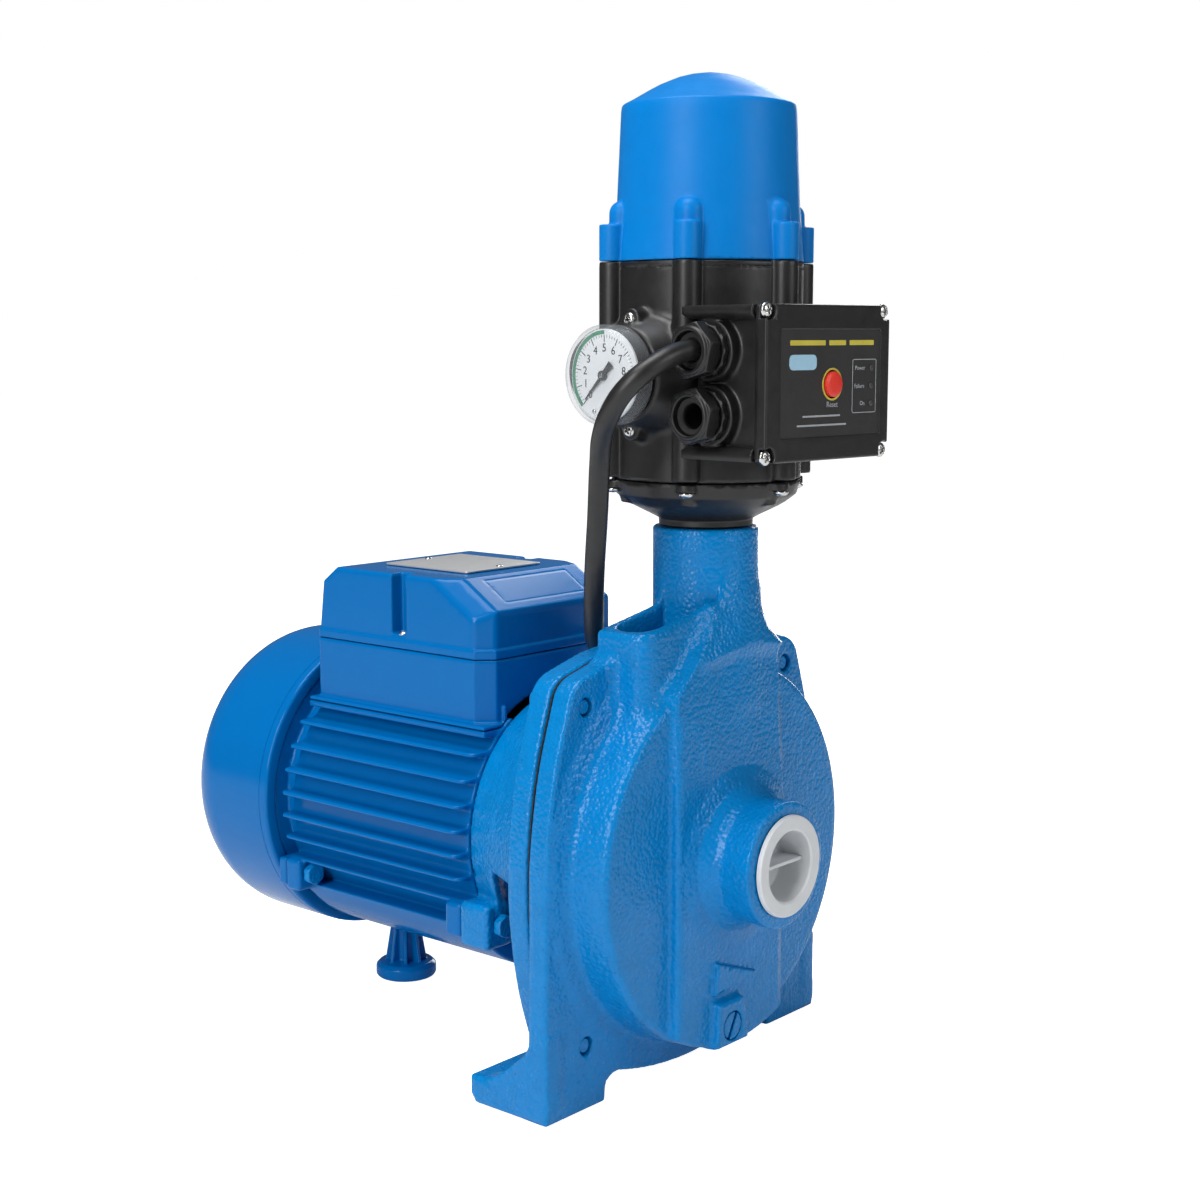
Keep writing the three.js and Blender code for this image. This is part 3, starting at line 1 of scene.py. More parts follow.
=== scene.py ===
"""Visual model of a centrifugal water pump with a finned motor and an automatic pump control.

Lengths in this file are millimetres in the pump's own frame, where the casing flange's front face is y = 0.
Matrices bring them into the row frame in metres.
"""
import json
import math

import bmesh
import bpy
import numpy as np
import openvdb
from mathutils import Matrix, Vector


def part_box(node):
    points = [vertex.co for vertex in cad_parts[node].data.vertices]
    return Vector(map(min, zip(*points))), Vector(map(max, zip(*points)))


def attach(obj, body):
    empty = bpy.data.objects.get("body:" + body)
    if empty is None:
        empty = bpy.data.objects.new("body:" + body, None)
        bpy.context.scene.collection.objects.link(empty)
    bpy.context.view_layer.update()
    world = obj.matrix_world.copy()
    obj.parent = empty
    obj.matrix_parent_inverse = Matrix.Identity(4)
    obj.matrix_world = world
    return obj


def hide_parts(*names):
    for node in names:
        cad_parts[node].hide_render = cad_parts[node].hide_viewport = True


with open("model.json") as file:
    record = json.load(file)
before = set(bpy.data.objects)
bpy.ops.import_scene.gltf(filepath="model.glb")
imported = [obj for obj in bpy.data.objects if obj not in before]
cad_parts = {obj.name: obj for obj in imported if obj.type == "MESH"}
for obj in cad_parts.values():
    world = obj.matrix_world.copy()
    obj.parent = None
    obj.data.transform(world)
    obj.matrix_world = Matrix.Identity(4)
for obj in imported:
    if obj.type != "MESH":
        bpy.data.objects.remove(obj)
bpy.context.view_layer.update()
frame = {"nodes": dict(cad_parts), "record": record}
scene = bpy.context.scene

# ---------------------------------------------------------------- frames
MM = 0.001
SUCTION_FACE_Y = -50.1
SHAFT = (0, 98)  # x and z of the shaft
PIPE_X = 8.5
PIPE_TOP = 236.8
PIPE_RADIUS = 22.3
PORT_BORE = 16.8  # radius of both water ways
CONTROL_TURN = math.radians(-4)
GAUGE_HEIGHT = 64.2

ROW_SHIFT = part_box("pump_casing")[0].y - SUCTION_FACE_Y * MM
PUMP = Matrix.Translation((0, ROW_SHIFT, 0)) @ Matrix.Scale(MM, 4)
CONTROL = PUMP @ Matrix.Translation((PIPE_X, 0, PIPE_TOP)) @ Matrix.Rotation(CONTROL_TURN, 4, "Z")
# The gauge's +Z looks out to the left, its +X up.
GAUGE = CONTROL @ Matrix.Translation((0, 0, GAUGE_HEIGHT)) @ Matrix.Rotation(-math.pi / 2, 4, "Y")
ALONG = {
    "x": Matrix.Rotation(math.pi / 2, 4, "Y"),
    "y": Matrix.Rotation(-math.pi / 2, 4, "X"),
    "z": Matrix.Identity(4),
}


PIPE = (PIPE_X, 0)  # x and y of the pipe
ON_SHAFT = (SHAFT[0], 0, SHAFT[1])


def row(x, y, z):
    """A point of the pump's frame, in the row frame."""
    return PUMP @ Vector((x, y, z))


def linked(name, data):
    """A new object in the scene."""
    made = bpy.data.objects.new(name, data)
    scene.collection.objects.link(made)
    return made


# ---------------------------------------------------------------- camera
EYE = (-636.4, -492.9, 317.8)
YAW = math.radians(49.42)  # from +Y towards +X
PITCH = math.radians(7.97)  # downwards
LENS = 57.2

camera_data = bpy.data.cameras.new("camera")
camera_data.lens = LENS
camera_data.sensor_width = 36
camera_data.clip_start = 0.01
camera = linked("camera", camera_data)
camera.location = row(*EYE)
level = math.cos(PITCH)
facing = Vector((math.sin(YAW) * level, math.cos(YAW) * level, -math.sin(PITCH)))
camera.rotation_euler = facing.to_track_quat("-Z", "Y").to_euler()
scene.camera = camera


# ---------------------------------------------------------------- materials
MOTTLE_SIZE = 9.0


def set_inputs(node, values):
    for socket, value in values.items():
        node.inputs[socket].default_value = value


def new_look(name):
    """A material with its node tree and its shader."""
    made = bpy.data.materials.new(name)
    made.use_nodes = True
    return made, made.node_tree, made.node_tree.nodes["Principled BSDF"]


def remap(tree, source, low, high, start=0.0, end=1.0):
    """Brings a value from start..end into low..high."""
    node = tree.nodes.new("ShaderNodeMapRange")
    set_inputs(node, {"From Min": start, "From Max": end, "To Min": low, "To Max": high})
    tree.links.new(source, node.inputs["Value"])
    return node.outputs["Result"]


def surface(
    name,
    color,
    roughness,
    metallic=0.0,
    grain=None,
    waves=None,
    beads=None,
    mottle=0.0,
    roughness_spread=0.05,
    pits=0.0,
    stretch=None,
    sockets=None,
):
    """A procedural material. grain, waves and beads are bumps, each (size, height) in mm."""
    made, tree, shader = new_look(name)
    made.diffuse_color = (*color, 1)
    link = tree.links.new
    set_inputs(shader, {"Metallic": metallic, **(sockets or {})})
    coords = tree.nodes.new("ShaderNodeTexCoord").outputs["Object"]
    if stretch:
        mapping = tree.nodes.new("ShaderNodeMapping")
        set_inputs(mapping, {"Scale": stretch})
        link(coords, mapping.inputs["Vector"])
        coords = mapping.outputs["Vector"]

    def noise(size, detail=2.0, rough=0.5):
        clouds = tree.nodes.new("ShaderNodeTexNoise")
        set_inputs(clouds, {"Scale": 1 / (size * MM), "Detail": detail, "Roughness": rough})
        link(coords, clouds.inputs["Vector"])
        return clouds.outputs["Fac"]

    def cells(size, feature="F1"):
        spots = tree.nodes.new("ShaderNodeTexVoronoi")
        spots.feature = feature
        set_inputs(spots, {"Scale": 1 / (size * MM)})
        if feature == "SMOOTH_F1":
            set_inputs(spots, {"Smoothness": 0.35})
        link(coords, spots.inputs["Vector"])
        return spots.outputs["Distance"]

    def spread(source, middle, reach):
        return remap(tree, source, middle - reach, middle + reach, 0.3, 0.7)

    tone = tree.nodes.new("ShaderNodeHueSaturation")
    set_inputs(tone, {"Color": (*color, 1)})
    link(spread(noise(MOTTLE_SIZE, 4), 1, mottle), tone.inputs["Value"])
    tinted = tone.outputs["Color"]
    if pits:
        darker = tree.nodes.new("ShaderNodeMix")
        darker.data_type = "RGBA"
        link(remap(tree, cells(11), pits, 0.0, 0.035, 0.07), darker.inputs["Factor"])
        link(tinted, darker.inputs["A"])
        set_inputs(darker, {"B": (*[0.25 * c for c in color], 1)})
        tinted = darker.outputs["Result"]
    link(tinted, shader.inputs["Base Color"])
    link(spread(noise(MOTTLE_SIZE * 0.6, 3), roughness, roughness_spread), shader.inputs["Roughness"])

    normal = None
    for bump in (waves, grain, beads):
        if not bump:
            continue
        size, height = bump
        node = tree.nodes.new("ShaderNodeBump")
        node.invert = bump is beads
        set_inputs(node, {"Strength": 1.0, "Distance": height * MM})
        relief = cells(size, "SMOOTH_F1") if bump is beads else noise(size, 2.0, 0.55)
        link(relief, node.inputs["Height"])
        if normal:
            link(normal, node.inputs["Normal"])
        normal = node.outputs["Normal"]
    if normal:
        link(normal, shader.inputs["Normal"])
    return made


def ink(name, color, roughness=0.5, mottle=0.06):
    return surface(name, color, roughness, grain=(0.3, 0.01), mottle=mottle)


CAST_BLUE = (0.0, 0.182, 0.49)
MOTOR_BLUE = (0.0, 0.128, 0.40)
CAP_BLUE = (0.0, 0.178, 0.54)
BLACK = (0.008, 0.008, 0.0085)

PAINT = {"Specular IOR Level": 0.16}
CAST_PAINT = {"Specular IOR Level": 0.26}

STEEL = (0.62, 0.62, 0.61)
DARK_STEEL = (0.22, 0.225, 0.24)


def motor_gloss(name, roughness, waves, mottle):
    """The smooth blue of the motor and its box, faintly wavy."""
    return surface(
        name, MOTOR_BLUE, roughness, waves=waves, mottle=mottle, roughness_spread=0.02, sockets=PAINT
    )


LOOKS = {
    "cast_blue": surface(
        "cast_blue_paint",
        CAST_BLUE,
        0.24,
        beads=(1.75, 0.34),
        waves=(7, 0.35),
        mottle=0.05,
        pits=0.35,
        sockets=CAST_PAINT,
    ),
    "motor_blue": motor_gloss("motor_blue_paint", 0.14, (26, 0.03), 0.015),
    "box_blue": motor_gloss("box_blue_moulding", 0.16, (30, 0.025), 0.012),
    "cap_blue": surface(
        "cap_blue_moulding",
        CAP_BLUE,
        0.42,
        grain=(0.7, 0.008),
        waves=(24, 0.03),
        mottle=0.02,
        sockets=PAINT,
    ),
    "black_plastic": surface("black_moulding", BLACK, 0.4, grain=(0.45, 0.03), waves=(15, 0.05), mottle=0.2),
    "white_plastic": surface("white_moulding", (0.60, 0.62, 0.64), 0.38, grain=(0.6, 0.015), mottle=0.03),
    "red_plastic": surface("red_moulding", (0.70, 0.035, 0.02), 0.35, grain=(0.5, 0.02), mottle=0.04),
    "clear_plastic": surface(
        "clear_moulding",
        (0.95, 0.97, 0.98),
        0.04,
        roughness_spread=0.015,
        waves=(12, 0.02),
        sockets={"Transmission Weight": 1.0, "IOR": 1.46},
    ),
    "green_board": surface("board_lacquer", (0.01, 0.13, 0.045), 0.3, grain=(1.2, 0.04), mottle=0.15),
    "rubber": surface("black_rubber", (0.012, 0.012, 0.012), 0.75, grain=(0.5, 0.05), mottle=0.2),
    "cable_sheath": surface(
        "cable_rubber", (0.0095, 0.0095, 0.01), 0.42, grain=(0.5, 0.02), waves=(7, 0.05), mottle=0.2
    ),
    "steel": surface("bright_steel", STEEL, 0.22, 1.0, grain=(0.25, 0.01), mottle=0.06),
    "dark_steel": surface(
        "laminated_steel", DARK_STEEL, 0.45, 1.0, grain=(0.6, 0.05), mottle=0.1, stretch=(1, 6, 1)
    ),
    "brass": surface("machined_brass", (0.56, 0.37, 0.13), 0.3, 1.0, grain=(0.4, 0.02), mottle=0.06),
    "copper": surface("wound_copper", (0.45, 0.17, 0.06), 0.35, 1.0, grain=(0.7, 0.15), mottle=0.12),
    "plate": surface(
        "satin_foil", (0.60, 0.61, 0.62), 0.4, 0.55, grain=(0.3, 0.01), mottle=0.05, stretch=(1, 9, 1)
    ),
}
LABEL_BLACK = ink("label_film", (0.016, 0.016, 0.017), mottle=0.1)
PRINT_YELLOW = ink("yellow_ink", (0.55, 0.47, 0.05))
PRINT_WHITE = ink("white_ink", (0.35, 0.37, 0.39))
PRINT_BLUE = ink("pale_blue_ink", (0.33, 0.55, 0.70), 0.45, 0.05)
PRINT_BLACK = ink("black_ink", (0.012, 0.012, 0.012), mottle=0.1)
PRINT_GREEN = ink("green_ink", (0.012, 0.22, 0.10))
DARK_LAMP = ink("unlit_lamp", (0.05, 0.05, 0.055), 0.3, 0.1)
DIAL_WHITE = surface("dial_enamel", (0.80, 0.82, 0.84), 0.45, grain=(0.4, 0.008), mottle=0.02)


# ---------------------------------------------------------------- pieces
def settle(piece, body, replaced):
    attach(piece, body)
    if replaced:
        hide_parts(*replaced)
    return piece


def piece_from(name, mesh, slot, look=None, body="pump", replaced=(), sharp=32):
    """Links a mesh as a piece of the object."""
    mesh.materials.clear()
    mesh.materials.append(look or LOOKS[slot])
    mesh.polygons.foreach_set("use_smooth", [True] * len(mesh.polygons))
    if sharp:
        mesh.set_sharp_from_angle(angle=math.radians(sharp))
    return settle(linked(name, mesh), body, replaced)


def rounded(points, steps=5, closed=False):
    """An outline with each (x, y, radius) corner turned into a curve."""
    out = []
    last = len(points) - 1
    for i, point in enumerate(points):
        here = Vector(point[:2])
        radius = point[2] if len(point) > 2 else 0
        if not radius or (not closed and i in (0, last)):
            out.append(tuple(here))
            continue
        before = Vector(points[i - 1][:2]) - here
        after = Vector(points[(i + 1) % len(points)][:2]) - here
        half = before.angle(after) / 2
        reach = min(radius / math.tan(half), before.length * 0.49, after.length * 0.49)
        start = here + before.normalized() * reach
        end = here + after.normalized() * reach
        for k in range(steps + 1):
            t = k / steps
            out.append(tuple(start * (1 - t) ** 2 + here * 2 * t * (1 - t) + end * t * t))
    return out


def curve(start, control, end, steps=8):
    """Points of a quadratic curve after its start."""
    a, b, c = Vector(start), Vector(control), Vector(end)
    ts = [k / steps for k in range(1, steps + 1)]
    return [tuple(a * (1 - t) ** 2 + b * 2 * t * (1 - t) + c * t * t) for t in ts]


def rectangle(u0, v0, u1, v1, radius=0.0):
    corners = [(u0, v0), (u1, v0), (u1, v1), (u0, v1)]
    return rounded([(u, v, radius) for u, v in corners], closed=True)


def disc(radius, centre, steps=48):
    angles = [2 * math.pi * k / steps for k in range(steps)]
    return [(centre[0] + radius * math.cos(a), centre[1] + radius * math.sin(a)) for a in angles]


def lathe_mesh(name, profile, matrix, axis="z", at=(0, 0, 0), sides=96):
    """A body of revolution of (radius, height) points, which close on the axis or on themselves."""
    mesh = bpy.data.meshes.new(name)
    shape = bmesh.new()
    placed = matrix @ Matrix.Translation(at) @ ALONG[axis]
    rings = []
    for radius, height in profile:
        if radius < 1e-6:
            rings.append([shape.verts.new(placed @ Vector((0, 0, height)))])
            continue
        circle = [(*spot, height) for spot in disc(radius, (0, 0), sides)]
        rings.append([shape.verts.new(placed @ Vector(spot)) for spot in circle])
    pairs = list(zip(rings, rings[1:]))
    if len(rings[0]) > 1 and len(rings[-1]) > 1:
        pairs.append((rings[-1], rings[0]))
    for lower, upper in pairs:
        for k in range(sides):
            n = (k + 1) % sides
            if len(lower) == 1 and len(upper) == 1:
                continue
            if len(lower) == 1:
                shape.faces.new((lower[0], upper[n], upper[k]))
            elif len(upper) == 1:
                shape.faces.new((lower[k], lower[n], upper[0]))
            else:
                shape.faces.new((lower[k], lower[n], upper[n], upper[k]))
    bmesh.ops.recalc_face_normals(shape, faces=shape.faces)
    shape.to_mesh(mesh)
    shape.free()
    return mesh


def prism_mesh(name, outline, low, high, matrix, axis="z", bevel=0.0):
    """An outline pushed from low to high along an axis, with bevelled rims."""
    mesh = bpy.data.meshes.new(name)
    shape = bmesh.new()
    lift = {
        "z": lambda u, v, w: (u, v, w),
        "y": lambda u, v, w: (u, w, v),
        "x": lambda u, v, w: (w, u, v),
    }[axis]
    rings = [[shape.verts.new(matrix @ Vector(lift(u, v, w))) for u, v in outline] for w in (low, high)]
    caps = [shape.faces.new(ring) for ring in rings]
    count = len(outline)
    for k in range(count):
        n = (k + 1) % count
        shape.faces.new((rings[0][k], rings[0][n], rings[1][n], rings[1][k]))
    bmesh.ops.recalc_face_normals(shape, faces=shape.faces)
    if bevel:
        rims = {edge for cap in caps for edge in cap.edges}
        width = bevel * MM
        bmesh.ops.bevel(shape, geom=list(rims), offset=width, segments=2, profile=0.5, affect="EDGES")
    shape.to_mesh(mesh)
    shape.free()
    return mesh


def joined(name, meshes):
    """One mesh from several."""
    shape = bmesh.new()
    for mesh in meshes:
        shape.from_mesh(mesh)
        bpy.data.meshes.remove(mesh)
    whole = bpy.data.meshes.new(name)
    shape.to_mesh(whole)
    shape.free()
    return whole


# ---------------------------------------------------------------- distance fields
def soft_min(a, b, soft):
    if not soft:
        return np.minimum(a, b)
    blend = np.maximum(soft - np.abs(a - b), 0) / soft
    return np.minimum(a, b) - blend * blend * (soft / 4)


def soft_max(a, b, soft):
    return -soft_min(-a, -b, soft)


def outline_distance(u, v, outline):
    """Signed distance to a closed outline, negative inside."""
    nearest = np.full(np.broadcast(u, v).shape, 1e9, np.float32)
    inside = np.zeros(nearest.shape, bool)
    for (ax, ay), (bx, by) in zip(outline, outline[1:] + outline[:1]):
        ex, ey = bx - ax, by - ay
        length = ex * ex + ey * ey
        if length < 1e-9:
            continue
        wu, wv = u - ax, v - ay
        t = np.clip((wu * ex + wv * ey) / length, 0, 1)
        nearest = np.minimum(nearest, (wu - ex * t) ** 2 + (wv - ey * t) ** 2)
        if by != ay:
            inside ^= ((ay > v) != (by > v)) & (u < ex * (v - ay) / ey + ax)
    return np.where(inside, -1, 1).astype(np.float32) * np.sqrt(nearest)


def capped(across, along, edge):
    """The part of one distance within another, with its rim rounded."""
    a, b = across + edge, along + edge
    return np.minimum(np.maximum(a, b), 0) + np.hypot(np.maximum(a, 0), np.maximum(b, 0)) - edge


class Field:
    """A signed distance field on a grid, in millimetres, that grows by soft joins and cuts."""

    def __init__(self, low, high, step):
        margin = 3 * step
        self.step = step
        self.origin = [c - margin for c in low]
        self.axes = {}
        counts = []
        for i, letter in enumerate("xyz"):
            count = int(math.ceil((high[i] + margin - self.origin[i]) / step)) + 1
            counts.append(count)
            shape = [1, 1, 1]
            shape[i] = count
            line = self.origin[i] + step * np.arange(count)
            self.axes[letter] = line.astype(np.float32).reshape(shape)
        self.value = np.full(counts, 1e3, np.float32)

    def add(self, shape, soft=0):
        self.value = soft_min(self.value, shape, soft)

    def cut(self, shape, soft=0):
        self.value = soft_max(self.value, -shape, soft)

    def keep(self, shape, soft=0):
        self.value = soft_max(self.value, shape, soft)

    def split(self, axis):
        """The two coordinates across an axis, and the one along it."""
        u, v = [self.axes[letter] for letter in "xyz" if letter != axis]
        return u, v, self.axes[axis]

    def bar(self, axis, radius, low, high, at=(0, 0), edge=0.0, end_radius=None):
        u, v, w = self.split(axis)
        out = np.hypot(u - at[0], v - at[1])
        if end_radius is None:
            across = out - radius
        else:
            slope = (end_radius - radius) / (high - low)
            across = (out - radius - slope * (w - low)) / math.hypot(1, slope)
        return capped(across, np.maximum(low - w, w - high), edge)

    def box(self, low, high, edge=0.0):
        total = 0
        inner = -1e9
        for letter, a, b in zip("xyz", low, high):
            c = self.axes[letter]
            d = np.maximum(a - c, c - b) + edge
            total = total + np.maximum(d, 0) ** 2
            inner = np.maximum(inner, d)
        return np.sqrt(total) + np.minimum(inner, 0) - edge

    def slab(self, axis, outline, low, high, edge=0.0):
        """An outline, drawn across the axis, between two heights on it."""
        u, v, w = self.split(axis)
        return capped(outline_distance(u, v, outline), np.maximum(low - w, w - high), edge)

    def hexagon(self, axis, flats, low, high, at=(0, 0), edge=0.0, turn=0.0):
        u, v, w = self.split(axis)
        u, v = u - at[0], v - at[1]
        across = -1e9
        for k in range(3):
            angle = turn + k * math.pi / 3
            across = np.maximum(across, np.abs(u * math.cos(angle) + v * math.sin(angle)) - flats / 2)
        return capped(across, np.maximum(low - w, w - high), edge)

    def turned(self, axis, profile, at=(0, 0)):
        """A closed (radius, height) profile turned round an axis."""
        u, v, w = self.split(axis)
        out = np.squeeze(np.hypot(u - at[0], v - at[1]))
        fine = self.step / 2
        radii = np.arange(0, out.max() + 2 * fine, fine, dtype=np.float32)
        table = outline_distance(radii[:, None], w.reshape(1, -1), profile)
        index = (out / fine).astype(int)
        part = (out / fine - index)[..., None]
        found = table[index] * (1 - part) + table[index + 1] * part
        return np.moveaxis(found, 2, "xyz".index(axis)).astype(np.float32)

    def plane(self, point, normal):
        """Positive on the side that the normal points to."""
        length = math.sqrt(sum(c * c for c in normal))
        return sum((self.axes[letter] - p) * (n / length) for letter, p, n in zip("xyz", point, normal))

    def sample(self, spots):
        """The field at points in grid steps, and between them."""
        low = np.clip(np.floor(spots).astype(int), 0, np.array(self.value.shape) - 2)
        t = (spots - low).astype(np.float32)
        total = 0
        for corner in range(8):
            bits = [(corner >> k) & 1 for k in range(3)]
            weight = np.prod([t[:, k] if bits[k] else 1 - t[:, k] for k in range(3)], axis=0)
            i, j, k = (low[:, n] + bits[n] for n in range(3))
            total = total + weight * self.value[i, j, k]
        return total

    def mesh(self, name, matrix, adaptivity=0.02):
        """The field's surface as a mesh, with the normals of the field itself."""
        width = 4 * self.step
        grid = openvdb.FloatGrid(width)
        grid.copyFromArray(np.clip(self.value, -width, width))
        points, triangles, quads = grid.convertToPolygons(isovalue=0.0, adaptivity=adaptivity)
        halves = 0.5 * np.eye(3)
        slope = np.stack([self.sample(points + h) - self.sample(points - h) for h in halves], axis=1)
        slope /= np.maximum(np.linalg.norm(slope, axis=1, keepdims=True), 1e-6)
        place = np.array(matrix)
        spots = points * self.step + np.array(self.origin)
        spots = spots @ place[:3, :3].T + place[:3, 3]
        turn = place[:3, :3] / MM
        normals = slope @ turn.T
        faces = [*map(tuple, triangles.tolist()), *map(tuple, quads.tolist())]
        made = bpy.data.meshes.new(name)
        made.from_pydata(spots.tolist(), [], faces)
        first = triangles[0] if len(triangles) else quads[0][:3]
        a, b, c = spots[first]
        if np.dot(np.cross(b - a, c - a), normals[first[0]]) < 0:
            made.flip_normals()
        made.polygons.foreach_set("use_smooth", [True] * len(made.polygons))
        made.normals_split_custom_set_from_vertices(normals.tolist())
        return made


def field_piece(name, field, slot, matrix=PUMP, **rest):
    return piece_from(name, field.mesh(name, matrix), slot, sharp=0, **rest)


def carve(piece, tool_mesh):
    """Cuts a mesh's shape out of a piece for good."""
    tool = linked("tool", tool_mesh)
    modifier = piece.modifiers.new("cut", "BOOLEAN")
    modifier.operation = "DIFFERENCE"
    modifier.solver = "EXACT"
    modifier.object = tool
    bpy.context.view_layer.update()
    graph = bpy.context.evaluated_depsgraph_get()
    result = bpy.data.meshes.new_from_object(piece.evaluated_get(graph))
    piece.modifiers.remove(modifier)
    old = piece.data
    piece.data = result
    bpy.data.meshes.remove(old)
    bpy.data.objects.remove(tool)


# ---------------------------------------------------------------- cable
CABLE_DIAMETER = 8.5
GLAND_FORWARD = 36.5
GLAND_HEIGHTS = {"upper": 74.2, "lower": 48.7}
BOX_GLAND = (116, 161)  # y and z of the gland on the terminal box's right side


def control_point(x, y, z):
    turned = Matrix.Rotation(CONTROL_TURN, 3, "Z") @ Vector((x, y, z))
    return turned + Vector((PIPE_X, 0, PIPE_TOP))


LEAVING = [control_point(x, -GLAND_FORWARD, GLAND_HEIGHTS["upper"]) for x in (-31, -39, -47, -54)]
CABLE_ROUTE = [
    *map(tuple, LEAVING),
    (-65, -28.5, 304.3),
    (-71.3, -22, 296.5),
    (-71, -14, 287.3),
    (-66, -5.5, 277.5),
    (-60, 0.8, 267),
    (-52, 9, 243),
    (-45.7, 16, 220.5),
    (-38, 23, 201.5),
    (-27, 31.5, 188),
    (-11, 40, 180.5),
    (8, 46, 177),
    (30, 48, 174.5),
    (52, 51, 173),
    (71, 60, 171.5),
    (81.5, 76, 169),
    (82, 96, 165.5),
    (77, 110, 162.3),
    (67, *BOX_GLAND),
    (56, *BOX_GLAND),
    (44, *BOX_GLAND),
]


def control_cable():
    data = bpy.data.curves.new("control_cable_sheath", "CURVE")
    data.dimensions = "3D"
    data.bevel_depth = CABLE_DIAMETER / 2 * MM
    data.bevel_resolution = 8
    data.resolution_u = 10
    data.use_fill_caps = True
    line = data.splines.new("BEZIER")
    line.bezier_points.add(len(CABLE_ROUTE) - 1)
    for knot, place in zip(line.bezier_points, CABLE_ROUTE):
        knot.co = row(*place)
        knot.handle_left_type = knot.handle_right_type = "AUTO"
    data.materials.append(LOOKS["cable_sheath"])
    return settle(linked("control_cable_sheath", data), "pump", ["control_cable"])


cable = control_cable()


# ---------------------------------------------------------------- pump casing
FLANGE_SIDE = 93.4
BOLTS = [(-69, 169), (69, 169), (-69, 27), (69, 27)]
DRAIN = (-8.5, 26)
DRAIN_PAD_Y = -30
SLAB_FACE_Y = -26
SOLE_REAR_Y = 42.5
FOOT_OUTER = 95
FOOT_INNER = 58
HOLD = 0.1  # how far inside its outer size the casing is held
POCKET_FLOOR = 181
ANCHOR = (77, 27)  # x and y of a foot's anchor hole


def upper_outline():
    """The shared top of casing flange, gasket and bracket, from the right side over to the left."""
    right = [(FLANGE_SIDE, SHAFT[1] + 8)]
    right += curve((FLANGE_SIDE, 106), (91.5, 136), (84, 158))
    right += curve((79.5, 172), (77, 179.5), (69, 181.5), 6)
    right += [(50, 186.5)] + curve((50, 186.5), (25, 190.5), (0, 190.5))
    return right + [(-x, z) for x, z in reversed(right[:-1])]


def four_ears():
    top = [(x, z) for x, z in upper_outline() if z > SHAFT[1] + 1]
    return top + [(x, 2 * SHAFT[1] - z) for x, z in reversed(top)]


